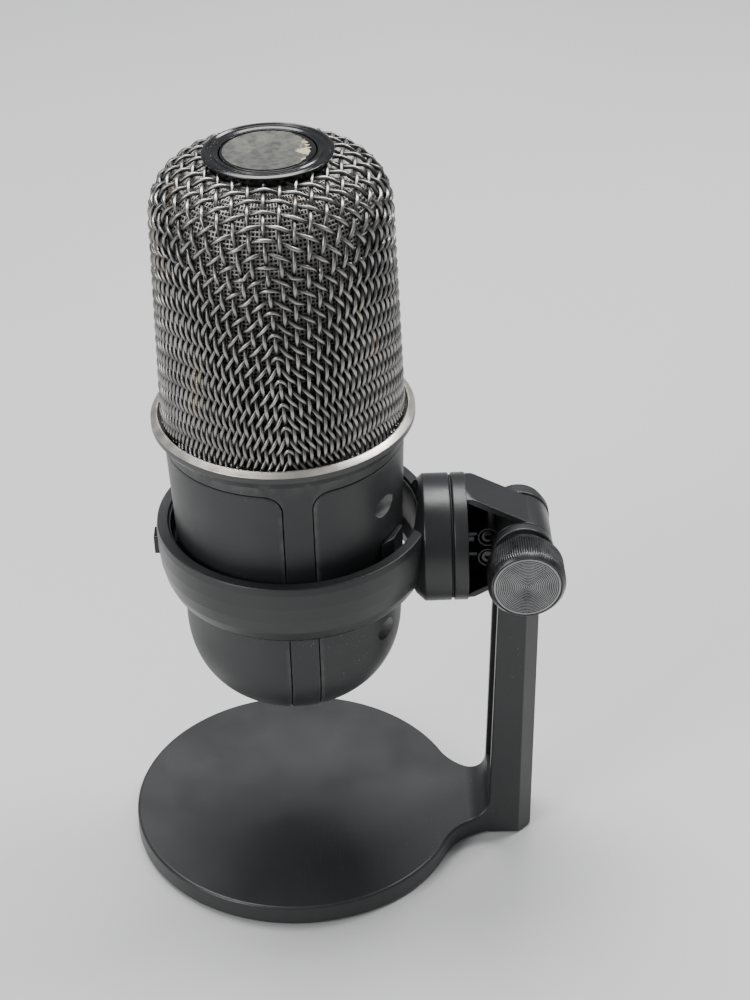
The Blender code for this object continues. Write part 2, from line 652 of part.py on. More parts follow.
def build_grille(parts, mic):
    rim = [
        (26.5, 0.9),
        (26.8, 0.9),
        (FLANGE_RADIUS, 0.0),
        (FLANGE_RADIUS, -1.2),
        (26.4, -3.4),
        (25.95, -3.4),
        (25.95, -1.3),
        (23.6, -1.3),
        (23.6, -0.6),
        (26.5, -0.6),
    ]
    turned("grille_rim", rim, parts["satin_metal"], mic, steps=44)
    foot = -0.3
    weave = grille_outline(0.0, 8, foot) + grille_outline(WEAVE_THICKNESS, 6, foot)[::-1]
    turned("grille_weave", weave, parts["wire_mesh"], mic, steps=36)
    liner_out = WEAVE_THICKNESS + GAP
    liner = grille_outline(liner_out, 6, foot) + grille_outline(liner_out + 0.5, 6, foot)[::-1]
    turned("grille_liner", liner, parts["wire_mesh"], mic, steps=24)

    low = CAP_TOP - 0.6
    cap = [
        (CAP_RADIUS, CAP_TOP - 0.2),
        (CAP_RADIUS - 0.2, CAP_TOP),
        (12.2, CAP_TOP),
        (11.9, CAP_TOP - 0.25),
        (9.9, CAP_TOP - 0.25),
        (9.9, 53.5),
        (11.7, 53.5),
        (11.7, low),
        (CAP_RADIUS, low),
    ]
    turned("cap_rim", cap, parts["gloss_black"], mic, steps=36)
    top = CAP_TOP - 0.65
    drum("touch_disc", 9.55, top - 1.5, top, parts["gloss_black"], mic, steps=24)
    drum("touch_label", LABEL_RADIUS, top + GAP, CAP_TOP - 0.1, parts["label"], mic, steps=24)
    drum("touch_board", 9.5, top - 4.2, top - 3.0, parts["circuit_board"], mic, steps=32)
    washer("touch_spring", 1.2, 2.4, top - 2.7, top - 1.8, parts["brass"], mic)
    washer("cap_retainer", 12.0, 15.0, 53.4, 54.4, parts["zinc_steel"], mic)


def build_materials():
    return {
        "charcoal_plastic": material("charcoal_plastic", (0.035, 0.036, 0.038), 0.55),
        "body_plastic": material("body_plastic", (0.042, 0.043, 0.046), 0.5),
        "black_nylon": material("black_nylon", (0.02, 0.02, 0.02), 0.6),
        "gloss_black": material("gloss_black", (0.012, 0.012, 0.013), 0.15),
        "label": material("label", (0.16, 0.16, 0.155), 0.6),
        "rubber": material("rubber", (0.02, 0.02, 0.02), 0.85),
        "wire_mesh": material("wire_mesh", (0.14, 0.14, 0.145), 0.35, 1.0),
        "satin_metal": material("satin_metal", (0.3, 0.3, 0.3), 0.35, 1.0),
        "dark_metal": material("dark_metal", (0.16, 0.16, 0.165), 0.3, 1.0),
        "zinc_steel": material("zinc_steel", (0.5, 0.5, 0.5), 0.35, 1.0),
        "black_steel": material("black_steel", (0.06, 0.06, 0.06), 0.35, 1.0),
        "brass": material("brass", (0.65, 0.5, 0.25), 0.35, 1.0),
        "fibre": material("fibre", (0.1, 0.09, 0.08), 0.8),
        "circuit_board": material("circuit_board", (0.02, 0.12, 0.05), 0.5),
        "clear_plastic": material("clear_plastic", (0.7, 0.7, 0.7), 0.2),
    }


def main():
    for old in list(bpy.data.objects):
        bpy.data.objects.remove(old, do_unlink=True)
    parts = build_materials()
    pivot = empty("pivot_axis", (PIVOT_X, 0, PIVOT_Z))
    tilt = empty("tilt_axis", (0, 0, 0), pivot, (0, TILT_AT_REST, 0))
    arm = empty("arm_axis", (0, 0, 0), tilt)
    mic = empty("mic_axis", (-REACH, 0, FLANGE_HEIGHT), arm)
    body = empty("body_axis", (0, 0, 0), mic, (0, 0, BODY_TURN))
    build_stand(parts)
    build_pivot(parts, pivot)
    build_bracket(parts, tilt)
    build_cradle(parts, mic)
    build_body(parts, body)
    build_insides(parts, body)
    build_grille(parts, mic)


main()
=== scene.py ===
import json
import math

import bmesh
import bpy
import numpy as np
from mathutils import Matrix, Vector


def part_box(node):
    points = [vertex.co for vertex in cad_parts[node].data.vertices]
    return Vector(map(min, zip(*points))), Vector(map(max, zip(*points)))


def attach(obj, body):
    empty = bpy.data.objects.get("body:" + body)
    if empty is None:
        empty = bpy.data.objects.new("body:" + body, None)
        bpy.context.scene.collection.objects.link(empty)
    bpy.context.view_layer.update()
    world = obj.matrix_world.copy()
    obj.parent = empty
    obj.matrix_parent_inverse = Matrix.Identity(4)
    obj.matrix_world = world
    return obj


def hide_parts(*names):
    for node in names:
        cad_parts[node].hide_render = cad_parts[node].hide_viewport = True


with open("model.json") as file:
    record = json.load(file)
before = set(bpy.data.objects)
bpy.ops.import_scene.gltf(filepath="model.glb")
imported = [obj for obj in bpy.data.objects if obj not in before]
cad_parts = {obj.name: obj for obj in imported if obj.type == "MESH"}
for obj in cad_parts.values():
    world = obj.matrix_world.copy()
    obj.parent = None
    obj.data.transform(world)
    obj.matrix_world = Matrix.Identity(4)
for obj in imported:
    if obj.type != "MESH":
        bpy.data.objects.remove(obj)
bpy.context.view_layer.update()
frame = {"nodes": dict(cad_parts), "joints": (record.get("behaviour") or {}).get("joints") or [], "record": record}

# Looks of the desktop microphone. Shapes are in millimetres in the frame of the thing that holds
# them (desk, pivot, tilted arm, microphone axis or turned body), and those frames come from the
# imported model.
MM = 0.001
TAU = math.tau
GAP = 0.3

# Base and post
BASE_RADIUS, BASE_TOP, SKIRT_BOTTOM, PLATE_EDGE = 38.25, 5.5, 0.5, 0.75
FOOT_ROOT, HAIR = 4.2, 0.02
POST_HALF, POST_BACK, POST_CHAMFER = 8.45, 55.0, 3.1
POST_FRONT_LOW, POST_FRONT_HIGH, POST_TOP = 44.8, 45.7, 75.0
NECK_FILLET, FOOT_FILLET = 14.0, 5.0
CHANNEL_HALF, CHANNEL_BACK, CHANNEL_FLOOR, WEB_TOP = 6.0, 52.6, 12.5, 72.6
EAR_RADIUS, BOLT_RADIUS = 6.9, 2.4

# Knob
KNOB_RADIUS, KNOB_BACK, KNOB_FRONT, KNOB_FACE_RADIUS = 8.45, -12.7, -20.3, 7.2
KNURLS, KNURL_DEPTH = 100, 0.22

# Bracket, from the pivot
DISC_RADIUS, DISC_FACE, DISC_BACK = 14.1, -15.1, -12.0
KNUCKLE_RADIUS, KNUCKLE_HALF, FAIRING_HALF, FAIRING_WALL = 6.7, 5.7, 5.5, 2.0
BOSS_X, BOSS_Z = -7.4, 2.65

# Microphone, from the flange
ARM_BELOW = 34.6
BODY_TURN = 6.5
DOME_RADIUS, DOME_START, DOME_DEPTH, DOME_POWER, BODY_TAPER = 24.0, -50.0, 22.0, 2.4, 0.035
SHELL_WALL, STRIP_HALF, COLLAR_LOW, COLLAR_FILLET = 2.0, 3.0, -6.0, 4.0
POCKETS, POCKET_RADIUS, POCKET_FLOOR = ((16.4, -16.6), (14.8, -50.0)), 2.4, 14.0
USB_HEIGHT, LIGHT_HEIGHT = -57.0, -12.0
FOOT_RADIUS, GRILLE_RADIUS, GRILLE_SHOULDER, GRILLE_RISE, GRILLE_POWER = 26.15, 25.0, 44.0, 15.3, 3.0
FLANGE_RADIUS, CAP_RADIUS, CAP_TOP, LABEL_RADIUS = 28.06, 13.25, 59.56, 9.2
RING_SHIFT, NECK_FACE = 1.0, 35.0

# Woven wire
PITCH, WIRE_RADIUS, WAVE = 2.86, 0.43, 0.35
LOCK = 25.0  # degrees between the wires where they can't close further

# Camera: its lens in mm, its angles in degrees and its place in metres
LENS, HEADING, DOWNWARD, ROLL = 80.87, -0.99, 33.56, -0.40
CAMERA_PLACE = (0.01167, -0.40773, 0.36026)


# Frames ----------------------------------------------------------------------------------------
joints = {joint["name"]: joint for joint in frame["joints"]}
pivot = Vector(joints["tilt"]["pos_m"])
arm = Vector(joints["swivel"]["axis"])
lean = Matrix.Rotation(math.atan2(-arm.z, arm.x), 4, "Y")
AT_DESK = Matrix.Identity(4)
AT_PIVOT = Matrix.Translation(pivot)
AT_ARM = AT_PIVOT @ lean
rim_low, rim_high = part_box("grille_rim")
RIM_MIDDLE = -1.25  # the rim's middle height, from the flange plane
flange = (rim_low + rim_high) / 2 - lean.to_3x3() @ Vector((0, 0, RIM_MIDDLE * MM))
AT_MIC = Matrix.Translation(flange) @ lean
AT_BODY = AT_MIC @ Matrix.Rotation(math.radians(BODY_TURN), 4, "Z")


# Outlines --------------------------------------------------------------------------------------
def arc(centre, radius, start, end, steps):
    angles = np.radians(np.linspace(start, end, steps + 1))
    return [(centre[0] + radius * math.cos(a), centre[1] + radius * math.sin(a)) for a in angles]


def rounded(points, steps=4):
    """A closed outline whose corners are rounded: each point is (a, b) or (a, b, radius)."""
    made = []
    for k, point in enumerate(points):
        here = np.array(point[:2], float)
        radius = point[2] if len(point) > 2 else 0.0
        if radius <= 0:
            made.append(tuple(here))
            continue
        before = np.array(points[k - 1][:2], float) - here
        after = np.array(points[(k + 1) % len(points)][:2], float) - here
        before, after = before / np.linalg.norm(before), after / np.linalg.norm(after)
        half = math.acos(max(-1.0, min(1.0, float(before @ after)))) / 2
        reach = radius / math.tan(half)
        for t in np.linspace(0, 1, steps + 1):
            # A quadratic through the two tangent points stays close to the circle.
            a, b = here + before * reach, here + after * reach
            made.append(tuple((1 - t) ** 2 * a + 2 * t * (1 - t) * here + t * t * b))
    return made


def inset(outline, distance):
    """An anticlockwise outline with each side moved inwards."""
    moved = []
    for k, (x, y) in enumerate(outline):
        normals = []
        pairs = ((outline[k - 1], (x, y)), ((x, y), outline[(k + 1) % len(outline)]))
        for (ax, ay), (bx, by) in pairs:
            length = math.hypot(bx - ax, by - ay)
            normals.append(((ay - by) / length, (bx - ax) / length))
        nx, ny = normals[0][0] + normals[1][0], normals[0][1] + normals[1][1]
        scale = 2 * distance / (nx * nx + ny * ny)
        moved.append((x + nx * scale, y + ny * scale))
    return moved


def body_radius(height):
    """The body's outer radius at a height: a slight taper above a superellipse dome."""
    if height >= DOME_START:
        return DOME_RADIUS + (height - DOME_START) * BODY_TAPER
    depth = min((DOME_START - height) / DOME_DEPTH, 1.0)
    return DOME_RADIUS * (1 - depth**DOME_POWER) ** (1 / DOME_POWER)


def dome_outline(top, offset, rows, straight=1):
    radius, depth, power = DOME_RADIUS - offset, DOME_DEPTH - offset, 2 / DOME_POWER
    points = [(0.0, DOME_START - depth)]
    for k in range(1, rows + 1):
        angle = math.pi / 2 * k / rows
        drop = depth * max(math.cos(angle), 0.0) ** power
        points.append((radius * math.sin(angle) ** power, DOME_START - drop))
    for k in range(1, straight + 1):
        height = DOME_START + (top - DOME_START) * k / straight
        points.append((body_radius(height) - offset, height))
    return points


# Meshes ----------------------------------------------------------------------------------------
def placed(name, mesh, at, sharp=35):
    mesh.shade_smooth()
    if sharp:
        mesh.set_sharp_from_angle(angle=math.radians(sharp))
    made = bpy.data.objects.new(name, mesh)
    bpy.context.scene.collection.objects.link(made)
    made.matrix_world = at
    return made


def from_bmesh(name, bm, at, sharp=35):
    bmesh.ops.recalc_face_normals(bm, faces=bm.faces)
    mesh = bpy.data.meshes.new(name)
    bm.to_mesh(mesh)
    bm.free()
    return placed(name, mesh, at, sharp)


def spot(axis, a, b, height):
    order = {"Z": (a, b, height), "X": (height, a, b), "Y": (a, height, b)}
    return [value * MM for value in order[axis]]


def turned(name, outline, at, axis="Z", centre=(0.0, 0.0), steps=160, ripple=None, sharp=35):
    """A body turned from a closed (radius, height) outline. ripple changes the radius round it."""
    bm = bmesh.new()
    rings = []
    for radius, height in outline:
        count = steps if radius > 1e-6 else 1
        ring = []
        for k in range(count):
            angle = TAU * k / steps
            r = ripple(k, radius, height) if ripple and count > 1 else radius
            a, b = centre[0] + r * math.cos(angle), centre[1] + r * math.sin(angle)
            ring.append(bm.verts.new(spot(axis, a, b, height)))
        rings.append(ring)
    for low, high in zip(rings, rings[1:] + rings[:1]):
        count = max(len(low), len(high))
        if count == 1:
            continue
        for k in range(count):
            j = (k + 1) % count
            corners = []
            for vert in (low[k % len(low)], low[j % len(low)], high[j % len(high)], high[k % len(high)]):
                if vert not in corners:
                    corners.append(vert)
            bm.faces.new(corners)
    return from_bmesh(name, bm, at, sharp)


def lofted(name, rings, at):
    bm = bmesh.new()
    made = [[bm.verts.new([value * MM for value in point]) for point in ring] for ring in rings]
    for low, high in zip(made, made[1:]):
        for k in range(len(low)):
            j = (k + 1) % len(low)
            bm.faces.new((low[k], low[j], high[j], high[k]))
    bm.faces.new(made[0])
    bm.faces.new(made[-1])
    return from_bmesh(name, bm, at)


def prism(name, outline, low, high, at, axis="Z", edge=0.0, steps=3):
    """An extruded outline, which runs anticlockwise. edge rounds its two rims."""
    levels = [(low, 0.0), (high, 0.0)]
    if edge:
        turn = [math.pi / 2 * k / steps for k in range(steps + 1)]
        lower = [(low + edge * (1 - math.sin(a)), edge * (1 - math.cos(a))) for a in reversed(turn)]
        upper = [(high - edge * (1 - math.sin(a)), edge * (1 - math.cos(a))) for a in turn]
        levels = lower + upper
    rings = []
    for height, pull in levels:
        flat = inset(outline, pull) if pull > 1e-9 else outline
        rings.append([[v / MM for v in spot(axis, a, b, height)] for a, b in flat])
    return lofted(name, rings, at)


def block(name, x, y, z, at, edge=0.0):
    outline = [(x[0], y[0]), (x[1], y[0]), (x[1], y[1]), (x[0], y[1])]
    if edge:
        outline = rounded([(*point, edge) for point in outline], 3)
    return prism(name, outline, z[0], z[1], at, edge=edge)


def drum(name, radius, low, high, at, axis="Z", centre=(0.0, 0.0), steps=64):
    return turned(name, [(0, low), (radius, low), (radius, high), (0, high)], at, axis, centre, steps)


def baked(target, sharp=35):
    """The target's modifiers applied."""
    bpy.context.view_layer.update()
    graph = bpy.context.evaluated_depsgraph_get()
    mesh = bpy.data.meshes.new_from_object(target.evaluated_get(graph))
    target.modifiers.clear()
    old, target.data = target.data, mesh
    bpy.data.meshes.remove(old)
    mesh.name = target.name
    if sharp:
        mesh.shade_smooth()
        mesh.set_sharp_from_angle(angle=math.radians(sharp))


def carve(target, *tools):
    """Boolean operations one after another; each tool is (object, operation)."""
    for tool, operation in tools:
        modifier = target.modifiers.new(tool.name, "BOOLEAN")
        modifier.object = tool
        modifier.operation = operation
        modifier.solver = "EXACT"
    baked(target)
    for tool, _ in tools:
        bpy.data.objects.remove(tool)
    return target


def weighted(target):
    modifier = target.modifiers.new("weighted_normals", "WEIGHTED_NORMAL")
    modifier.keep_sharp = True
    modifier.weight = 80
    return target


def quad_mesh(name, verts, quads, at, values=None, caps=()):
    """A mesh from arrays. values, one number a point, becomes the attribute `crown`."""
    mesh = bpy.data.meshes.new(name)
    corners = [quads.reshape(-1)] + [np.array(cap) for cap in caps]
    totals = np.concatenate([np.full(len(quads), 4)] + [[len(cap)] for cap in caps]).astype(np.int32)
    corners = np.concatenate(corners).astype(np.int32)
    mesh.vertices.add(len(verts))
    mesh.vertices.foreach_set("co", (verts * MM).astype(np.float32).reshape(-1))
    mesh.loops.add(len(corners))
    mesh.loops.foreach_set("vertex_index", corners)
    mesh.polygons.add(len(totals))
    starts = np.concatenate([[0], np.cumsum(totals)[:-1]]).astype(np.int32)
    mesh.polygons.foreach_set("loop_start", starts)
    mesh.update(calc_edges=True)
    mesh.validate()
    if values is not None:
        layer = mesh.attributes.new("crown", "FLOAT", "POINT")
        layer.data.foreach_set("value", values.astype(np.float32))
    return placed(name, mesh, at, sharp=0)


def tubes(name, runs, radius, sides, at):
    """Round wires along runs of (points, normals, lift)."""
    verts, quads, values, caps, first = [], [], [], [], 0
    turn = TAU * np.arange(sides) / sides
    for points, normals, lift in runs:
        along = np.gradient(points, axis=0)
        along /= np.linalg.norm(along, axis=1)[:, None]
        side = np.cross(along, normals)
        side /= np.linalg.norm(side, axis=1)[:, None]
        up = np.cross(side, along)
        ring = np.cos(turn)[None, :, None] * up[:, None] + np.sin(turn)[None, :, None] * side[:, None]
        verts.append((points[:, None] + radius * ring).reshape(-1, 3))
        values.append((lift[:, None] + 0.5 * np.cos(turn)[None, :]).reshape(-1))
        k = np.arange(len(points) - 1)[:, None] * sides + np.arange(sides)[None, :]
        j = np.arange(len(points) - 1)[:, None] * sides + (np.arange(sides)[None, :] + 1) % sides
        quads.append(first + np.stack([k, j, j + sides, k + sides], -1).reshape(-1, 4))
        caps.append(first + np.arange(sides))
        caps.append(first + (len(points) - 1) * sides + np.arange(sides)[::-1])
        first += len(points) * sides
    return quad_mesh(name, np.concatenate(verts), np.concatenate(quads), at, np.concatenate(values), caps)


# Materials -------------------------------------------------------------------------------------
class Shader:
    """A small helper for building a node material around one Principled shader."""

    def __init__(self, name, roughness, metallic=0.0):
        self.material = bpy.data.materials.new(name)
        self.material.use_nodes = True
        self.tree = self.material.node_tree
        self.shader = self.tree.nodes["Principled BSDF"]
        self.shader.inputs["Roughness"].default_value = roughness
        self.shader.inputs["Metallic"].default_value = metallic
        self.place = self.node("ShaderNodeTexCoord").outputs["Object"]

    def node(self, kind, **settings):
        made = self.tree.nodes.new(kind)
        for key, value in settings.items():
            if hasattr(made, key):
                setattr(made, key, value)
            else:
                made.inputs[key.replace("_", " ")].default_value = value
        return made

    def link(self, source, target):
        self.tree.links.new(source, target)

    def stretched(self, x, y, z, turn=(0.0, 0.0, 0.0)):
        mapping = self.node("ShaderNodeMapping")
        mapping.inputs["Scale"].default_value = (x, y, z)
        mapping.inputs["Rotation"].default_value = turn
        self.link(self.place, mapping.inputs["Vector"])
        return mapping.outputs["Vector"]

    def noise(self, scale, detail=2.0, vector=None, rough=0.5):
        made = self.node("ShaderNodeTexNoise", Scale=scale, Detail=detail, Roughness=rough)
        self.link(vector or self.place, made.inputs["Vector"])
        return made.outputs["Fac"]

    def spots(self, scale, vector=None):
        made = self.node("ShaderNodeTexVoronoi", Scale=scale)
        self.link(vector or self.place, made.inputs["Vector"])
        return made

    def span(self, value, low, high, to_low=0.0, to_high=1.0):
        made = self.node("ShaderNodeMapRange")
        for slot, number in zip((1, 2, 3, 4), (low, high, to_low, to_high)):
            made.inputs[slot].default_value = number
        self.link(value, made.inputs[0])
        return made.outputs[0]

    def maths(self, operation, a, b):
        made = self.node("ShaderNodeMath", operation=operation)
        for slot, value in ((0, a), (1, b)):
            if isinstance(value, (int, float)):
                made.inputs[slot].default_value = value
            else:
                self.link(value, made.inputs[slot])
        return made.outputs[0]

    def mix(self, factor, a, b):
        """Mixes two colours, each a colour or a socket."""
        made = self.node("ShaderNodeMix", data_type="RGBA")
        if isinstance(factor, (int, float)):
            made.inputs[0].default_value = factor
        else:
            self.link(factor, made.inputs[0])
        for slot, value in ((6, a), (7, b)):
            if isinstance(value, tuple):
                made.inputs[slot].default_value = (*value, 1.0)
            else:
                self.link(value, made.inputs[slot])
        return made.outputs[2]

    def colour(self, value):
        self.link(value, self.shader.inputs["Base Color"])

    def roughness(self, value):
        self.link(value, self.shader.inputs["Roughness"])

    def bump(self, height, strength, distance):
        made = self.node("ShaderNodeBump", Strength=strength, Distance=distance)
        self.link(height, made.inputs["Height"])
        self.link(made.outputs["Normal"], self.shader.inputs["Normal"])

    def dust(self, size, share, patchy=(0.45, 0.62)):
        """Specks of dust, as a factor: cells of about `size` metres, in patches."""
        cells = self.spots(1 / size)
        patch = self.span(self.noise(38, 3), *patchy)
        wanted = self.maths("MULTIPLY", patch, share)
        limit = self.maths("MULTIPLY", self.noise(1.7 / size, 1), wanted)
        return self.maths("LESS_THAN", cells.outputs["Distance"], limit)

    def scratches(self, scale, thin, turn):
        """Sparse fine scratches, as a factor."""
        lines = self.noise(scale, 2, self.stretched(1.0, 0.04, 0.6, turn))
        near = self.maths("ABSOLUTE", self.maths("SUBTRACT", lines, 0.5), 0.0)
        mark = self.span(near, 0.0, thin, 1.0, 0.0)
        return self.maths("MULTIPLY", mark, self.span(self.noise(26, 2), 0.56, 0.66))


def plastic(name, colour, light, rough, grain, depth, dust=0.16, scuff=0.35, wear=0.3):
    """Moulded plastic: fine textured grain, mottled sheen, dust, scuffs and rubbed edges."""
    s = Shader(name, rough)
    tone = s.span(s.noise(45, 4), 0.3, 0.7)
    base = s.mix(tone, colour, light)
    edge = s.node("ShaderNodeNewGeometry").outputs["Pointiness"]
    worn = s.maths("MULTIPLY", s.span(edge, 0.515, 0.60), s.span(s.noise(420, 3), 0.3, 0.75))
    base = s.mix(s.maths("MULTIPLY", worn, wear), base, (0.30, 0.30, 0.30))
    marks = s.maths("ADD", s.scratches(900, 0.006, (0.4, 0.9, 0.3)), s.scratches(700, 0.005, (1.1, 0.2, 1.9)))
    base = s.mix(s.maths("MULTIPLY", marks, scuff), base, (0.34, 0.34, 0.33))
    specks = s.maths("ADD", s.dust(0.0007, dust), s.dust(0.0016, dust * 0.6, (0.55, 0.7)))
    base = s.mix(s.maths("MULTIPLY", specks, 0.75), base, (0.62, 0.61, 0.58))
    s.colour(base)
    fine = s.noise(grain, 2)
    shine = s.maths("ADD", s.span(s.noise(60, 4), 0.3, 0.7, rough - 0.06, rough + 0.08), 0.0)
    s.roughness(s.maths("ADD", shine, s.maths("MULTIPLY", specks, 0.2)))
    s.bump(fine, depth, 0.00006)
    return s.material


def metal(name, colour, light, rough, grain=2600, depth=0.12, tarnish=0.25):
    """Plain machined or plated metal with a faint grain and dull patches."""
    s = Shader(name, rough, 1.0)
    tone = s.span(s.noise(90, 4), 0.3, 0.7)
    base = s.mix(tone, colour, light)
    dull = s.span(s.noise(240, 4), 0.52, 0.72)
    base = s.mix(s.maths("MULTIPLY", dull, tarnish), base, tuple(c * 0.45 for c in colour))
    s.colour(base)
    s.roughness(s.maths("ADD", s.span(s.noise(300, 3), 0.3, 0.7, rough - 0.07, rough + 0.1), 0.0))
    s.bump(s.noise(grain, 2), depth, 0.00003)
    return s.material


def wire_material():
    """Dark coated wire, rubbed bright along the outer side of each crown."""
    s = Shader("wire_coat", 0.34, 1.0)
    crown = s.node("ShaderNodeAttribute", attribute_name="crown").outputs["Fac"]
    rubbed = s.maths("MULTIPLY", s.span(crown, 0.25, 0.9), s.span(s.noise(130, 3), 0.32, 0.62, 0.55, 1.0))
    base = s.mix(s.span(s.noise(700, 3), 0.3, 0.7), (0.075, 0.075, 0.078), (0.125, 0.125, 0.125))
    base = s.mix(rubbed, base, (0.43, 0.42, 0.40))
    lint = s.span(s.noise(90, 3, s.stretched(1.0, 1.0, 0.7)), 0.64, 0.70)
    base = s.mix(s.maths("MULTIPLY", lint, 0.35), base, (0.42, 0.36, 0.28))
    s.colour(base)
    s.roughness(s.span(s.noise(900, 3), 0.3, 0.7, 0.26, 0.42))
    s.bump(s.noise(5200, 2), 0.12, 0.00003)
    return s.material


def liner_material():
    s = Shader("liner_wire_painted_shade", 0.42, 0.55)
    base = s.mix(s.span(s.noise(500, 3), 0.3, 0.7), (0.36, 0.35, 0.33), (0.58, 0.565, 0.53))
    dirt = s.span(s.noise(60, 3), 0.50, 0.68)
    base = s.mix(s.maths("MULTIPLY", dirt, 0.5), base, (0.16, 0.155, 0.145))
    rust = s.span(s.noise(75, 2, s.stretched(1.0, 1.0, 0.8)), 0.66, 0.72)
    base = s.mix(s.maths("MULTIPLY", rust, 0.5), base, (0.50, 0.36, 0.20))
    # Painted shade and light: the liner is painted dark below about 18 mm and reaches its full colour above 40 mm,
    # so its lower part reads shaded and its top lit.
    split = s.node("ShaderNodeSeparateXYZ")
    s.link(s.place, split.inputs[0])
    s.colour(s.mix(s.span(split.outputs[2], 0.018, 0.040), (0.10, 0.098, 0.092), base))
    s.roughness(s.span(s.noise(900, 2), 0.3, 0.7, 0.36, 0.55))
    s.bump(s.noise(5000, 2), 0.15, 0.00003)
    return s.material


def label_material():
    """A blank grey film, scratched and stained."""
    s = Shader("worn_label", 0.6)
    base = s.mix(s.span(s.noise(700, 5), 0.35, 0.65), (0.030, 0.031, 0.028), (0.075, 0.075, 0.066))
    long_lines = s.scratches(1500, 0.02, (0.2, 0.1, 0.8))
    lines = s.maths("ADD", long_lines, s.scratches(1200, 0.015, (0.0, 0.2, 2.2)))
    base = s.mix(s.maths("MULTIPLY", lines, 0.5), base, (0.24, 0.24, 0.21))
    smear = s.span(s.noise(190, 4), 0.54, 0.64)
    base = s.mix(s.maths("MULTIPLY", smear, 0.35), base, (0.18, 0.18, 0.145))
    split = s.node("ShaderNodeSeparateXYZ")
    s.link(s.place, split.inputs[0])
    side = s.span(split.outputs[0], 0.002, 0.0085)
    residue = s.span(s.maths("MULTIPLY", side, s.noise(330, 5)), 0.30, 0.36)
    base = s.mix(residue, base, (0.42, 0.35, 0.24))
    s.colour(base)
    s.roughness(s.span(s.noise(500, 3), 0.3, 0.7, 0.5, 0.75))
    s.bump(s.noise(1400, 4), 0.6, 0.0001)
    return s.material


def gloss_material():
    s = Shader("gloss_black", 0.14)
    base = s.mix(s.span(s.noise(120, 3), 0.3, 0.7), (0.004, 0.004, 0.0045), (0.009, 0.009, 0.0095))
    specks = s.dust(0.0006, 0.22)
    base = s.mix(s.maths("MULTIPLY", specks, 0.7), base, (0.5, 0.5, 0.48))
    marks = s.scratches(1000, 0.006, (0.1, 0.4, 0.9))
    s.colour(s.mix(s.maths("MULTIPLY", marks, 0.4), base, (0.3, 0.3, 0.3)))
    s.roughness(s.span(s.noise(220, 4), 0.3, 0.75, 0.10, 0.28))
    s.bump(s.noise(900, 2), 0.05, 0.00003)
    return s.material


def knob_material(name, rough, bright=1.0):
    s = Shader(name, rough, 1.0)
    dark, light = ((v * bright, v * bright, v * bright * 1.02) for v in (0.075, 0.115))
    base = s.mix(s.span(s.noise(150, 3), 0.3, 0.7), dark, light)
    grime = s.span(s.noise(260, 4), 0.5, 0.75)
    s.colour(s.mix(s.maths("MULTIPLY", grime, 0.4), base, tuple(v * 0.4 for v in dark)))
    s.roughness(s.span(s.noise(600, 3), 0.3, 0.7, rough - 0.06, rough + 0.08))
    s.bump(s.noise(6000, 2), 0.1, 0.00002)
    return s.material


def board_material():
    s = Shader("circuit_board", 0.4)
    tracks = s.span(s.noise(500, 1, s.stretched(0.2, 1.0, 1.0)), 0.5, 0.52)
    s.colour(s.mix(tracks, (0.012, 0.075, 0.030), (0.020, 0.12, 0.05)))
    s.roughness(s.span(s.noise(300, 2), 0.3, 0.7, 0.3, 0.5))
    s.bump(tracks, 0.3, 0.00005)
    return s.material


def soft_material(name, dark, light, rough, scale):
    s = Shader(name, rough)
    s.colour(s.mix(s.span(s.noise(scale, 4), 0.3, 0.7), dark, light))
    s.roughness(s.span(s.noise(scale * 2, 3), 0.3, 0.7, rough - 0.08, min(rough + 0.08, 1.0)))
    s.bump(s.noise(scale * 8, 3), 0.3, 0.00006)
    return s.material


def clear_material():
    s = Shader("clear_plastic", 0.12)
    s.shader.inputs["Transmission Weight"].default_value = 0.6
    s.shader.inputs["IOR"].default_value = 1.49
    s.colour(s.mix(s.span(s.noise(400, 2), 0.3, 0.7), (0.55, 0.56, 0.57), (0.7, 0.7, 0.7)))
    s.roughness(s.span(s.noise(700, 2), 0.3, 0.7, 0.08, 0.2))
    return s.material


looks = {
    "charcoal_plastic": plastic(
        "charcoal_plastic",
        (0.016, 0.0165, 0.0175),
        (0.0195, 0.020, 0.021),
        rough=0.36,
        grain=4200,
        depth=0.35,
        dust=0.10,
        scuff=0.05,
        wear=0.0,
    ),
    "body_plastic": plastic(
        "body_plastic",
        (0.016, 0.0165, 0.018),
        (0.021, 0.0215, 0.023),
        rough=0.44,
        grain=5200,
        depth=0.35,
        dust=0.22,
        scuff=0.12,
    ),
    "black_nylon": soft_material("black_nylon", (0.016, 0.016, 0.016), (0.028, 0.028, 0.028), 0.6, 300),
    "gloss_black": gloss_material(),
    "label": label_material(),
    "rubber": soft_material("rubber", (0.014, 0.014, 0.014), (0.030, 0.030, 0.030), 0.82, 200),
    "wire_mesh": wire_material(),
    "satin_metal": metal("satin_metal", (0.66, 0.63, 0.56), (0.78, 0.74, 0.66), 0.36, tarnish=0.12),
    "dark_metal": knob_material("dark_metal", 0.30),
    "zinc_steel": metal("zinc_steel", (0.46, 0.46, 0.45), (0.60, 0.60, 0.58), 0.32),
    "black_steel": metal("black_steel", (0.035, 0.035, 0.036), (0.07, 0.07, 0.07), 0.26),
    "brass": metal("brass", (0.55, 0.38, 0.15), (0.68, 0.50, 0.22), 0.3),
    "fibre": soft_material("fibre", (0.07, 0.062, 0.052), (0.12, 0.105, 0.09), 0.8, 500),
    "circuit_board": board_material(),
    "clear_plastic": clear_material(),
}
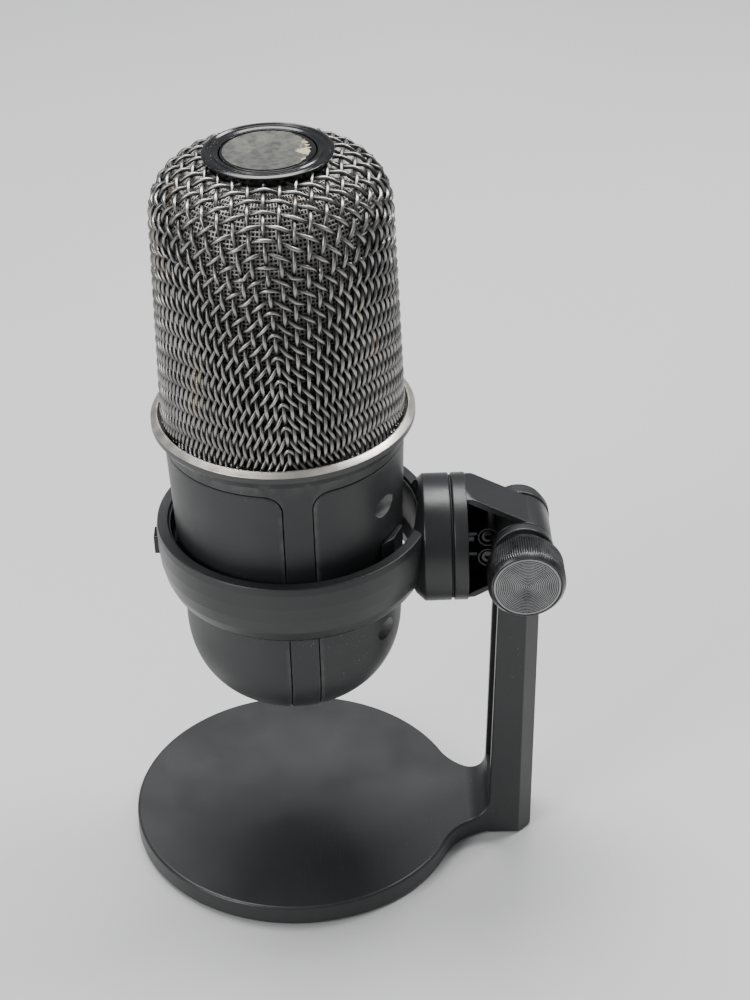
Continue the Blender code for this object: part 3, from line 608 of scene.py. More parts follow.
extra = {
    "liner": liner_material(),
    # A near-black sheet inside the liner: painted shade that darkens the inside of the grille.
    "cloth": soft_material("liner_shade_sheet", (0.010, 0.010, 0.010), (0.022, 0.021, 0.020), 0.9, 700),
    "rim_coat": plastic("rim_coat", (0.035, 0.035, 0.036), (0.05, 0.05, 0.05), 0.38, 3800, 0.4),
    "knob_face": knob_material("knob_face", 0.26, 3.0),
    # Painted shade: a dark copy of the knob metal for the bottoms of the face's grooves.
    "groove": knob_material("knob_groove_painted_shade", 0.4, 0.15),
    "pocket": soft_material("pocket_floor", (0.15, 0.15, 0.15), (0.26, 0.26, 0.25), 0.5, 900),
}

slot_of = {part["node"]: part["material_slot"] for part in frame["record"]["subparts"]}
body_of = {node: body for body, nodes in frame["record"]["behaviour"]["bodies"].items() for node in nodes}
for name, thing in frame["nodes"].items():
    thing.data.materials.clear()
    thing.data.materials.append(looks[slot_of[name]])


def stands_for(piece, *nodes, look=None):
    """Gives a finished piece its material and body, and shows it instead of the CAD nodes."""
    slot = slot_of[nodes[0]]
    if not piece.data.materials:
        piece.data.materials.append(look or looks[slot])
    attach(piece, body_of[nodes[0]])
    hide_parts(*nodes)
    return piece


# Stand -----------------------------------------------------------------------------------------
def build_stand():
    # The plate stays a hair inside the post, so that no two faces lie in one plane.
    c, w, inside = POST_CHAMFER, POST_HALF, POST_HALF - HAIR
    reach, side = BASE_RADIUS + NECK_FILLET, inside + NECK_FILLET
    fillet_x = math.sqrt(reach**2 - side**2)
    meet = math.degrees(math.atan2(side, fillet_x))
    neck_far = arc((fillet_x, side), NECK_FILLET, -90, meet - 180, 22)
    rim = arc((0, 0), BASE_RADIUS, meet, 360 - meet, 190)
    neck_near = [(x, -y) for x, y in reversed(neck_far)]
    rear = POST_BACK - HAIR
    back = [(rear - c, -inside), (rear, c - inside), (rear, inside - c), (rear - c, inside)]
    outline = neck_far[:-1] + rim + neck_near[1:] + back
    base = weighted(prism("stand_base", outline, SKIRT_BOTTOM, BASE_TOP, AT_DESK, edge=PLATE_EDGE, steps=5))
    stands_for(base, "stand_frame")

    # The foot's fillet: its rounded side edges run on from the plate's up into the post's.
    def foot_ring(x, z, out_x, out_z, share):
        """A section of the foot, at a share of the fillet's run from the plate to the post."""
        half = side - math.sqrt(NECK_FILLET**2 - (x - fillet_x) ** 2) - 0.16 * share**2
        edge = PLATE_EDGE - 0.2 * share
        near = [(x, -half, FOOT_ROOT)]
        for turn in np.linspace(0, math.pi / 2, 7):
            deep = edge * (1 - math.sin(turn))
            near.append((x + out_x * deep, -half + edge * (1 - math.cos(turn)), z + out_z * deep))
        return near + [(a, -b, d) for a, b, d in reversed(near)]

    # The first rings lie just under the plate's top, so that the foot rises from it without a step.
    start_x, centre_z = POST_FRONT_LOW - FOOT_FILLET, BASE_TOP + FOOT_FILLET
    dips = ((3.0, 0.5), (1.2, 0.12), (0.4, 0.02))
    rings = [foot_ring(start_x - before, BASE_TOP - dip, 0.0, -1.0, 0.0) for before, dip in dips]
    for angle in np.radians(np.linspace(-90, 0, 22)):
        out_x, out_z = math.cos(angle), math.sin(angle)
        x, z = start_x + FOOT_FILLET * out_x, centre_z + FOOT_FILLET * out_z
        rings.append(foot_ring(x, z, out_x, out_z, out_x))
    deep = POST_FRONT_LOW + 1.5
    rings.append([(deep, y, z) for _, y, z in rings[-1]])
    stands_for(weighted(lofted("stand_foot", rings, AT_DESK)), "stand_frame")

    half, depth, soft = CHANNEL_HALF, CHANNEL_BACK, 0.5
    for name, low, high in (("lower", 0.6, CHANNEL_FLOOR), ("upper", CHANNEL_FLOOR, WEB_TOP)):
        rings = []
        for z in (low, high):
            front = POST_FRONT_LOW + (POST_FRONT_HIGH - POST_FRONT_LOW) * (z - 4.5) / (POST_TOP - 4.5)
            section = [(front, w, soft), (front, -w, soft), (POST_BACK - c, -w, 0.5), (POST_BACK, c - w, 0.5)]
            section += [(POST_BACK, w - c, 0.5), (POST_BACK - c, w, 0.5)]
            if name == "upper":
                notch = [(front, half, 0.3), (depth, half, 0.6), (depth, -half, 0.6), (front, -half, 0.3)]
                section = section[:1] + notch + section[1:]
            rings.append([(x, y, z) for x, y in rounded(section, 5)])
        stands_for(weighted(lofted("stand_post_" + name, rings, AT_DESK)), "stand_frame")
    centre = (pivot.x / MM, pivot.z / MM)
    low = POST_TOP - 0.4
    reach = math.degrees(math.asin((centre[1] - low) / EAR_RADIUS))
    ear = arc(centre, EAR_RADIUS, -reach, 180 + reach, 60)
    for sign, name in ((-1, "near"), (1, "far")):
        wall = [
            (POST_FRONT_HIGH, half),
            (POST_BACK - c + w - half, half),
            (POST_BACK - c, w),
            (POST_FRONT_HIGH, w),
        ]
        wall = rounded([(x, sign * y, 0.3) for x, y in wall[::sign]], 4)
        stands_for(weighted(prism("stand_wall_" + name, wall, WEB_TOP - 1, POST_TOP, AT_DESK)), "stand_frame")
        piece = prism("stand_ear_" + name, ear, *sorted((sign * half, sign * w)), AT_DESK, "Y", edge=0.4)
        stands_for(weighted(piece), "stand_frame")

    ear_face = POST_HALF + GAP
    cap = [(0, 10.9), (6.2, 10.9, 0.8), (6.2, ear_face, 0.2), (4.6, ear_face), (4.6, 10.25), (0, 10.25)]
    stands_for(turned("bolt_cap_smooth", rounded(cap, 6), AT_PIVOT, "Y", steps=96), "bolt_cap")
    ring = [(2.8, -ear_face - 0.6), (5.6, -ear_face - 0.6, 0.15), (5.6, -ear_face, 0.15), (2.8, -ear_face)]
    stands_for(turned("knob_washer_smooth", rounded(ring), AT_PIVOT, "Y", steps=96), "knob_washer")


def build_knob():
    shoulder, per_knurl = -POST_HALF - GAP - 0.9, 6
    bore = BOLT_RADIUS + GAP
    knob = [
        (bore, shoulder),
        (6.6, shoulder, 0.25),
        (6.75, KNOB_BACK, 0.0),
        (KNOB_RADIUS - 0.35, KNOB_BACK, 0.0),
        (KNOB_RADIUS, KNOB_BACK - 0.35, 0.1),
        (KNOB_RADIUS, (KNOB_BACK + KNOB_FRONT) / 2, 0.0),
        (KNOB_RADIUS, KNOB_FRONT + 1.15, 0.0),
        (KNOB_RADIUS - 0.12, KNOB_FRONT + 0.95, 0.0),
        (KNOB_FACE_RADIUS + 0.42, KNOB_FRONT, 0.12),
        (KNOB_FACE_RADIUS + 0.2, KNOB_FRONT, 0.05),
        (KNOB_FACE_RADIUS + 0.2, KNOB_FRONT + 1.1),
        (0, KNOB_FRONT + 1.1),
        (0, -16.6),
        (bore, -16.6),
    ]
    low, high = KNOB_FRONT + 1.0, KNOB_BACK - 0.1

    def knurled(k, radius, height):
        if radius < KNOB_RADIUS - 0.2 or not low < height < high:
            return radius
        step = (k % per_knurl) / per_knurl
        return radius - KNURL_DEPTH * (0.5 + 0.5 * math.cos(TAU * step)) ** 1.5

    steps = KNURLS * per_knurl
    body = turned("knob_grip", rounded(knob, 4), AT_PIVOT, "Y", steps=steps, ripple=knurled, sharp=50)
    stands_for(body, "knob_body")

    # Fine turned grooves cover the face.
    rings, groove = 18, 0.17
    face, width = [(0, KNOB_FRONT + 0.8), (0, KNOB_FRONT + groove)], (KNOB_FACE_RADIUS - 0.2) / rings
    for k in range(rings):
        for part, depth in ((0.2, groove), (0.36, 0.02), (0.5, 0.0), (0.78, 0.0), (0.94, 0.03)):
            face.append(((k + part) * width, KNOB_FRONT + depth))
    face += [(KNOB_FACE_RADIUS, KNOB_FRONT + 0.02), (KNOB_FACE_RADIUS, KNOB_FRONT + 0.8)]
    disc = turned("knob_grooved_face", face, AT_PIVOT, "Y", steps=128, sharp=25)
    disc.data.materials.append(extra["knob_face"])
    disc.data.materials.append(extra["groove"])
    # Faces down in the grooves take the dark groove material: painted shade at the groove bottoms.
    for polygon in disc.data.polygons:
        if polygon.center.y / MM > KNOB_FRONT + groove * 0.4:
            polygon.material_index = 1
    stands_for(disc, "knob_face")


# Bracket ---------------------------------------------------------------------------------------
def build_bracket():
    disc = [
        (1.5, DISC_FACE, 0.1),
        (DISC_RADIUS, DISC_FACE, 0.35),
        (DISC_RADIUS, DISC_BACK, 0.3),
        (1.5, DISC_BACK, 0.1),
    ]
    stands_for(turned("tilt_bracket_disc", rounded(disc, 5), AT_ARM, "X", steps=140), "tilt_bracket")
    depth, round_edge = KNUCKLE_HALF - 0.9, 0.3
    knuckle = [
        (BOLT_RADIUS + GAP, -depth),
        (4.6, -depth),
        (4.6, -KNUCKLE_HALF, 0.1),
        (KNUCKLE_RADIUS, -KNUCKLE_HALF, round_edge),
        (KNUCKLE_RADIUS, KNUCKLE_HALF, round_edge),
        (4.6, KNUCKLE_HALF, 0.1),
        (4.6, depth),
        (BOLT_RADIUS + GAP, depth),
    ]
    stands_for(turned("tilt_bracket_knuckle", rounded(knuckle, 5), AT_ARM, "Y", steps=120), "tilt_bracket")
    # Two walls run from the disc, whose round they follow, on to the knuckle.
    corner_x, corner_z = DISC_BACK - 0.5, DISC_RADIUS - 0.1
    toward = math.degrees(math.atan2(corner_z, corner_x))
    touch = toward - math.degrees(math.acos(KNUCKLE_RADIUS / math.hypot(corner_x, corner_z)))
    slope = math.tan(math.radians(90 - touch))
    touch_x = (KNUCKLE_RADIUS - 0.25) * math.cos(math.radians(touch))
    touch_z = (KNUCKLE_RADIUS - 0.25) * math.sin(math.radians(touch))
    fall = (touch_z - corner_z) / (touch_x - corner_x)
    inner_z, end_x = corner_z - FAIRING_WALL, -KNUCKLE_RADIUS * 0.86
    for name, sign in (("upper", 1), ("lower", -1)):
        rings = []
        for x in np.linspace(corner_x, touch_x, 26):
            high = corner_z + (x - corner_x) * fall
            low = min(inner_z - (x - DISC_BACK) * slope, high - 1.5)
            section = [(-FAIRING_HALF, low, 0.35), (FAIRING_HALF, low, 0.35)]
            for y in np.linspace(FAIRING_HALF, -FAIRING_HALF, 15):
                top = min(high, math.sqrt(corner_z**2 - y**2))
                section.append((y, top, 0.3) if abs(y) == FAIRING_HALF else (y, top))
            rings.append([(x, y, sign * z) for y, z in rounded(section, 4)])
        stands_for(weighted(lofted("tilt_bracket_wall_" + name, rings, AT_ARM)), "tilt_bracket")
    for name, z in (("upper", BOSS_Z), ("lower", -BOSS_Z)):
        tube = [(1.2, -3.3), (1.9, -3.3), (1.9, -4.9, 0.1), (2.35, -4.9, 0.15), (2.35, 3.75), (1.2, 3.75)]
        boss = turned("boss_" + name, rounded(tube), AT_ARM, "Y", (BOSS_X, z), 56)
        span = (DISC_BACK - 0.3, BOSS_X - 2.0)
        rib = block("rib_" + name, span, (-3.4, 3.7), (z - 0.45, z + 0.45), AT_ARM, 0.16)
        for piece in (boss, rib):
            stands_for(weighted(piece), "tilt_bracket")

    top = inner_z - GAP * 1.4
    cover = [
        (DISC_BACK + GAP, top),
        (end_x - GAP, top - (end_x - GAP - DISC_BACK) * slope),
        (-KNUCKLE_RADIUS - 2 * GAP, 0),
        (end_x - GAP, (end_x - GAP - DISC_BACK) * slope - top),
        (DISC_BACK + GAP, -top),
    ]
    plate = prism("bracket_cover_plate", cover[::-1], 3.7, FAIRING_HALF, AT_ARM, "Y", edge=0.2)
    stands_for(weighted(plate), "bracket_cover")
    for name, z in (("upper", BOSS_Z), ("lower", -BOSS_Z)):
        screw = [(0, -4.6), (1.55, -4.6, 0.25), (1.55, -3.6), (0.9, -3.6), (0.9, 4.6), (0, 4.6)]
        made = turned(f"bracket_screw_{name}_head", rounded(screw), AT_ARM, "Y", (BOSS_X, z), 48)
        recess = [(BOSS_X + a, z + b) for a, b in arc((0, 0), 0.85, 0, 300, 5)]
        carve(made, (prism("socket_" + name, recess, -5.2, -3.95, AT_ARM, "Y"), "DIFFERENCE"))
        stands_for(weighted(made), "bracket_screw_" + name)


# Cradle ----------------------------------------------------------------------------------------
def build_cradle():
    lip = [
        (9.8, NECK_FACE - 0.7),
        (12.3, NECK_FACE - 0.7),
        (12.3, NECK_FACE + 0.08),
        (13.6, NECK_FACE + 0.08, 0.08),
        (13.6, NECK_FACE + 0.4, 0.08),
        (9.8, NECK_FACE + 0.4),
    ]
    ring = turned("swivel_seal", rounded(lip), AT_MIC, "X", (0.0, -ARM_BELOW), 96)
    stands_for(ring, "swivel_washer", look=looks["rubber"])

    section = [
        (25.65, -41.9, 0.25),
        (26.9, -41.8, 0.4),
        (28.0, -40.6, 0.6),
        (29.0, -38.2, 1.2),
        (29.7, -35.0, 1.4),
        (30.0, -31.5, 1.4),
        (30.0, -28.0, 0.6),
        (29.75, -26.4, 0.28),
        (27.5, -26.4, 0.18),
        (27.3, -27.15, 0.12),
        (26.9, -27.2, 0.15),
        (26.9, -37.0, 0.8),
        (25.65, -39.5, 0.5),
    ]
    shift = (RING_SHIFT, 0.0)
    ring = turned("cradle_body", rounded(section, 5), AT_MIC, centre=shift, steps=200)
    at_arm = (0.0, -ARM_BELOW)
    neck = [
        (0, 20),
        (11.4, 20),
        (11.4, 26.4, 0.4),
        (14.1, 29.2, 0.7),
        (14.1, NECK_FACE, 0.35),
        (0, NECK_FACE),
    ]
    socket = turned("neck", rounded(neck, 5), AT_MIC, "X", at_arm, 140)
    carve(socket, (drum("neck_hollow", 27.4, -60, -10, AT_MIC, centre=shift, steps=200), "DIFFERENCE"))
    seat = [(9.5, NECK_FACE - 1), (12.6, NECK_FACE - 1), (12.6, NECK_FACE + 5), (9.5, NECK_FACE + 5)]
    front = RING_SHIFT - 30.0
    carve(
        ring,
        (socket, "UNION"),
        (drum("adapter_bore", 8.2, 29.6, 40, AT_MIC, "X", at_arm, 90), "DIFFERENCE"),
        (turned("washer_seat", seat, AT_MIC, "X", at_arm, 90), "DIFFERENCE"),
        (block("tab_pocket", (front - 2, front + 1.2), (-3.6, 1.2), (-34.6, -29.6), AT_MIC), "DIFFERENCE"),
    )
    stands_for(weighted(ring), "cradle_ring")
    plug = block("ring_plug", (front - 0.7, front + 0.9), (-3.3, 0.9), (-34.3, -29.9), AT_MIC, 0.22)
    stands_for(weighted(plug), "ring_tab")
    key = [(19.6, -16.25), (22.6, -13.5), (24.6, -8.6), (23.6, -8.3), (21.9, -12.0)]
    wedge = prism("cradle_key_wedge", rounded([(*p, 0.2) for p in key], 3), -31.5, -25.3, AT_MIC, edge=0.22)
    stands_for(weighted(wedge), "cradle_key")


# Body ------------------------------------------------------------------------------------------
def seam(height):
    """Half width between a shell's edge and the middle plane, at a height."""
    start = COLLAR_LOW - GAP - COLLAR_FILLET
    if height <= start:
        return STRIP_HALF + GAP
    rise = min(height - start, COLLAR_FILLET)
    return STRIP_HALF + GAP + COLLAR_FILLET - math.sqrt(max(COLLAR_FILLET**2 - rise**2, 0.0))


def shell(name, sign):
    """One half shell, whose edges follow the seams and roll inwards."""
    roll = 0.22
    heights = [COLLAR_LOW - GAP - COLLAR_FILLET * t for t in (1 - np.cos(np.linspace(0, np.pi / 2, 10)))]
    heights += list(np.linspace(COLLAR_LOW - GAP - COLLAR_FILLET, DOME_START, 24)[1:])
    edge_depth = DOME_DEPTH * (1 - ((STRIP_HALF + GAP) / DOME_RADIUS) ** DOME_POWER) ** (1 / DOME_POWER)
    heights += [DOME_START - edge_depth * t for t in np.sin(np.linspace(0, np.pi / 2, 44))[1:-1]]
    heights.append(DOME_START - edge_depth + 0.004)
    columns = 110
    bm = bmesh.new()
    rows = []
    for k, height in enumerate(heights):
        outer = body_radius(height)
        slope = (body_radius(height + 0.01) - body_radius(height - 0.01)) / 0.02
        tip = 1 / math.hypot(1, slope)
        lip = 0.0
        if k < 4:
            lip = roll * (1 - math.sqrt(1 - (1 - k / 4) ** 2))
        start = math.asin(min(seam(height) / outer, 1.0))
        row = []
        for j in range(columns + 1):
            angle = start + (math.pi - 2 * start) * j / columns
            across = min(angle - start, math.pi - start - angle) * outer
            near = min(max(1 - across / roll, 0.0), 1.0)
            depth = max(roll * (1 - math.sqrt(1 - near**2)), lip)
            row.append((angle, outer - depth * tip, height - depth * tip * -slope))
        inner = outer - SHELL_WALL * tip
        below = height + SHELL_WALL * tip * slope
        for j in range(columns, -1, -1):
            wide = math.asin(min(seam(height) / max(inner, seam(height)), 1.0))
            angle = wide + (math.pi - 2 * wide) * j / columns
            row.append((angle, max(inner, seam(height)), below))
        made = []
        for angle, radius, z in row:
            # Angles start at the -Y strip for the front shell and at +Y for the rear one.
            x, y = sign * radius * math.sin(angle), -radius * math.cos(angle)
            made.append(bm.verts.new((x * MM, y * MM, z * MM)))
        rows.append(made)
    for low, high in zip(rows, rows[1:]):
        for k in range(len(low)):
            j = (k + 1) % len(low)
            bm.faces.new((low[k], low[j], high[j], high[k]))
    for row in (rows[0], rows[-1]):
        for j in range(columns):
            bm.faces.new((row[j], row[j + 1], row[-2 - j], row[-1 - j]))
    bmesh.ops.remove_doubles(bm, verts=bm.verts, dist=0.002 * MM)
    return from_bmesh(name, bm, AT_BODY, 40)


def build_body():
    def wall(name, top=-1.6):
        outer, inner = dome_outline(top, 0.0, 44, 12), dome_outline(top, SHELL_WALL, 20, 4)
        return turned(name, outer + inner[::-1], AT_BODY, steps=220)

    edge, low, bend = STRIP_HALF, COLLAR_LOW, COLLAR_FILLET
    left = arc((-edge - bend, low - bend), bend, 0, 90, 16)
    right = [(-x, z) for x, z in reversed(left)]
    strip = [(-edge, -80)] + left + [(-40, low), (-40, 5), (40, 5), (40, low)] + right + [(edge, -80)]
    chassis = wall("chassis_body")
    carve(chassis, (prism("strip_region", strip, -40, 40, AT_BODY, "Y"), "INTERSECT"))
    stands_for(weighted(chassis), "chassis")

    front = shell("front_half", -1)
    light_hole = drum("light_hole", 1.3, -30, -10, AT_BODY, "X", (0, LIGHT_HEIGHT), 40)
    carve(front, (light_hole, "DIFFERENCE"))
    stands_for(weighted(front), "front_shell")

    rear = shell("rear_half", 1)
    tools, number, centres = [], 0, []
    for across, height in POCKETS:
        for sign in (-1, 1):
            number += 1
            centre = (sign * across, height)
            centres.append(centre)
            tube = drum(f"pocket_tube_{number}", 3.6, 4.0, 24, AT_BODY, "X", centre, 48)
            outline = dome_outline(-6.5, 0.6, 30, 4) + [(0, -6.5)]
            limit = turned(f"limit_{number}", outline, AT_BODY, steps=120)
            carve(tube, (limit, "INTERSECT"))
            tools.append((tube, "UNION"))
            floor = POCKET_FLOOR - 4
            bore = [(0, 2), (1.4, 2), (1.4, floor), (POCKET_RADIUS, floor, 0.3), (POCKET_RADIUS, 30), (0, 30)]
            drill = turned(f"pocket_{number}", rounded(bore), AT_BODY, "X", centre, 56)
            tools.append((drill, "DIFFERENCE"))
            head, top = floor + GAP, floor + GAP + 1.6
            outline = [(0, top), (2.0, top, 0.5), (2.0, head), (1.0, head), (1.0, -8.0), (0, -8.0)]
            screw = turned(f"shell_screw_{number}_head", rounded(outline), AT_BODY, "X", centre, 48)
            arms = []
            for a, b in ((0.85, 0.22), (0.22, 0.85)):
                y, z = (centre[0] - a, centre[0] + a), (height - b, height + b)
                arms.append((block(f"cross_{a}", (top - 0.9, top + 1), y, z, AT_BODY), "DIFFERENCE"))
            carve(screw, *arms)
            stands_for(weighted(screw), f"shell_screw_{number}")
    slot_x, slot_z = (10, 30), (USB_HEIGHT - 2.0, USB_HEIGHT + 2.0)
    corners = ((-4.8, slot_z[0]), (4.8, slot_z[0]), (4.8, slot_z[1]), (-4.8, slot_z[1]))
    outline = rounded([(*corner, 1.9) for corner in corners], 8)
    tools.append((prism("usb_slot", outline, *slot_x, AT_BODY, "X"), "DIFFERENCE"))
    carve(rear, *tools)
    rear.data.materials.append(looks["body_plastic"])
    rear.data.materials.append(extra["pocket"])
    for face in rear.data.polygons:
        here = face.center / MM
        if any(math.hypot(here.y - y, here.z - z) < POCKET_RADIUS + 0.02 for y, z in centres):
            face.material_index = 1
    stands_for(weighted(rear), "rear_shell")

    z, low, high = USB_HEIGHT, 15.4, 22.7

    def stadium(half_y, half_z):
        corners = [(-half_y, z - half_z), (half_y, z - half_z), (half_y, z + half_z), (-half_y, z + half_z)]
        return rounded([(*corner, half_z * 0.98) for corner in corners], 8)

    socket = prism("usb_shell", stadium(4.47, 1.63), low, high, AT_BODY, "X")
    tongue = prism("usb_tongue", stadium(3.3, 0.35), low + 1, high - 1.2, AT_BODY, "X")
    mouth = prism("usb_mouth", stadium(4.17, 1.33), 17.0, 24, AT_BODY, "X")
    carve(socket, (mouth, "DIFFERENCE"), (tongue, "UNION"))
    stands_for(weighted(socket), "usb_socket")
    outer = body_radius(LIGHT_HEIGHT)
    pipe = [(0, 0.1 - outer), (1.0, 0.1 - outer, 0.3), (1.0, -2.6), (0, -2.6)]
    stands_for(turned("light_pipe_lens", rounded(pipe), AT_BODY, "X", (0, LIGHT_HEIGHT), 40), "light_pipe")


# Grille ----------------------------------------------------------------------------------------
def grille_profile(offset, foot):
    """The grille's half outline moved inwards, from the pole down: distance, radius, height."""
    angle = np.linspace(math.pi / 2, 0, 400)
    radius = (GRILLE_RADIUS - offset) * np.cos(angle).clip(0) ** (2 / GRILLE_POWER)
    height = GRILLE_SHOULDER + (GRILLE_RISE - offset) * np.sin(angle).clip(0) ** (2 / GRILLE_POWER)
    down = np.linspace(GRILLE_SHOULDER, foot, 120)[1:]
    share = (GRILLE_SHOULDER - down) / GRILLE_SHOULDER
    radius = np.concatenate([radius, GRILLE_RADIUS - offset + (FOOT_RADIUS - GRILLE_RADIUS) * share])
    height = np.concatenate([height, down])
    step = np.hypot(np.diff(radius), np.diff(height))
    return np.concatenate([[0], np.cumsum(step)]), radius, height


class Form:
    """The surface that the wire cloth is pressed over."""

    def __init__(self, offset, foot):
        self.way, self.radius, self.height = grille_profile(offset, foot)
        top = self.height >= GRILLE_SHOULDER
        self.dome_angle = np.arctan2(self.height[top] - GRILLE_SHOULDER, self.radius[top])[::-1]
        self.dome_way = self.way[top][::-1]
        self.side_height = self.height[~top][::-1]
        self.side_way = self.way[~top][::-1]

    def at(self, way, turn):
        radius, height = np.interp(way, self.way, self.radius), np.interp(way, self.way, self.height)
        return np.stack([radius * np.cos(turn), radius * np.sin(turn), height], -1)

    def locate(self, points):
        radius, rise = np.hypot(points[..., 0], points[..., 1]), points[..., 2] - GRILLE_SHOULDER
        on_dome = np.interp(np.arctan2(rise, radius), self.dome_angle, self.dome_way)
        on_side = np.interp(points[..., 2], self.side_height, self.side_way)
        return np.where(rise >= 0, on_dome, on_side), np.arctan2(points[..., 1], points[..., 0])

    def normal(self, way, turn):
        r0, r1 = np.interp(way - 0.05, self.way, self.radius), np.interp(way + 0.05, self.way, self.radius)
        h0, h1 = np.interp(way - 0.05, self.way, self.height), np.interp(way + 0.05, self.way, self.height)
        out, up = h0 - h1, r1 - r0
        size = np.hypot(out, up)
        return np.stack([out / size * np.cos(turn), out / size * np.sin(turn), up / size], -1)


def pressed_net(form, count, rounds=1800, shear=0.05, over=1.4):
    """Crossings of square cloth pressed over the form, for one quarter of it.

    The cloth starts out spread evenly between the lines along its wires and its diagonals. Then
    each crossing moves until the wires keep their pitch and no opening closes past the lock.
    """
    u, v = np.meshgrid(PITCH * np.arange(count), PITCH * np.arange(count), indexing="ij")
    total = u + v + 1e-9
    side = (u - v) / total
    closed = np.interp(total, [0, 21.2, 50, 200], [0, 15, 40, 186]) / total
    way, turn = total * (closed + (1 - closed) * side**2), math.pi / 4 * (1 - side)
    way[0, 0] = turn[0, 0] = 0
    points = form.at(way, turn)
    nearest, square = 2 * PITCH * math.sin(math.radians(LOCK) / 2), PITCH * math.sqrt(2)
    low, high, every = slice(0, -1), slice(1, None), slice(None)
    pairs = (((low, every), (high, every)), ((every, low), (every, high)), ((low, high), (high, low)))
    for _ in range(rounds):
        # The first row and column mirror the crossings beyond the lines of symmetry.
        full = np.zeros((count + 1, count + 1, 3))
        full[1:, 1:] = points
        full[1:, 0] = points[:, 1] * (1, -1, 1)
        full[0, 1:] = points[1, :] * (-1, 1, 1)
        full[0, 0] = points[1, 1] * (-1, -1, 1)
        push, weight = np.zeros_like(full), np.zeros(full.shape[:2])
        for k, (a, b) in enumerate(pairs):
            gap = full[b] - full[a]
            size = np.linalg.norm(gap, axis=-1) + 1e-9
            off, used = size - PITCH, np.ones_like(size)
            if k == 2:
                tight = 1 - np.clip((size - nearest) / (square - nearest), 0, 1)
                off = np.minimum(size - nearest, 0) - shear * tight**2 * (square - nearest)
                used = np.maximum(size < nearest, 0.5 * shear * (size < square))
            move = 0.5 * (off / size)[..., None] * gap
            push[a] += move
            push[b] -= move
            weight[a] += used
            weight[b] += used
        points = points + over * (push / np.maximum(weight, 1)[..., None])[1:, 1:]
        way, turn = form.locate(points)
        turn = np.clip(turn, 0, math.pi / 2)
        turn[1:, 0], turn[0, 1:], way[0, 0] = 0, math.pi / 2, 0
        points = form.at(way, turn)
    return points


def build_weave():
    form = Form(0.9, -40.0)
    count = 35
    quarter = pressed_net(form, count)
    index = np.arange(1 - count, count)
    i, j = np.meshgrid(index, index, indexing="ij")
    signs = np.stack([np.where(i < 0, -1, 1), np.where(j < 0, -1, 1), np.ones_like(i)], -1)
    points = quarter[abs(i), abs(j)] * signs
    parity = np.where((i + j) % 2 == 0, 1.0, -1.0)
    for family, name in ((0, "grille_warp"), (1, "grille_weft")):
        runs = []
        for line in range(len(index)):
            knots = points[:, line] if family == 0 else points[line, :]
            over = (parity[:, line] if family == 0 else -parity[line, :]).copy()
            runs += wire_runs(form, knots, over)
        wires = tubes(name, runs, WIRE_RADIUS, 7, AT_MIC)
        stands_for(wires, "grille_weave")


def wire_runs(form, knots, signs, per=5):
    """One wire's visible stretches, waving over and under, from its crossings."""
    before = np.concatenate([[2 * knots[0] - knots[1]], knots[:-1]])
    after = np.concatenate([knots[1:], [2 * knots[-1] - knots[-2]]])
    beyond = np.concatenate([after[1:], [2 * after[-1] - after[-2]]])
    t = (np.arange(per) / per)[None, :, None]
    a, b, c, d = (v[:-1, None] for v in (before, knots, after, beyond))
    curve = 0.5 * (2 * b + (c - a) * t + (2 * a - 5 * b + 4 * c - d) * t**2 + (3 * b - a - 3 * c + d) * t**3)
    wave = (signs[:-1, None] * np.cos(math.pi * t[..., 0])).reshape(-1)
    way, turn = form.locate(curve.reshape(-1, 3))
    middle, normal = form.at(way, turn), form.normal(way, turn)
    radius, height = np.hypot(middle[:, 0], middle[:, 1]), middle[:, 2]
    shown = (height > -0.2) & ((radius > 12.35) | (height < 50))
    middle = middle + normal * (WAVE * wave)[:, None]
    # One line of square openings faces the front, a little skew like the real cloth.
    twist = np.radians(-85.5 - 0.125 * height)
    for vectors in (middle, normal):
        x, y = vectors[:, 0].copy(), vectors[:, 1].copy()
        vectors[:, 0] = x * np.cos(twist) - y * np.sin(twist)
        vectors[:, 1] = x * np.sin(twist) + y * np.cos(twist)
    runs, start = [], None
    for k in range(len(shown) + 1):
        if k < len(shown) and shown[k]:
            start = k if start is None else start
        elif start is not None:
            if k - start > 3:
                runs.append((middle[start:k], normal[start:k], 0.5 * wave[start:k]))
            start = None
    return runs


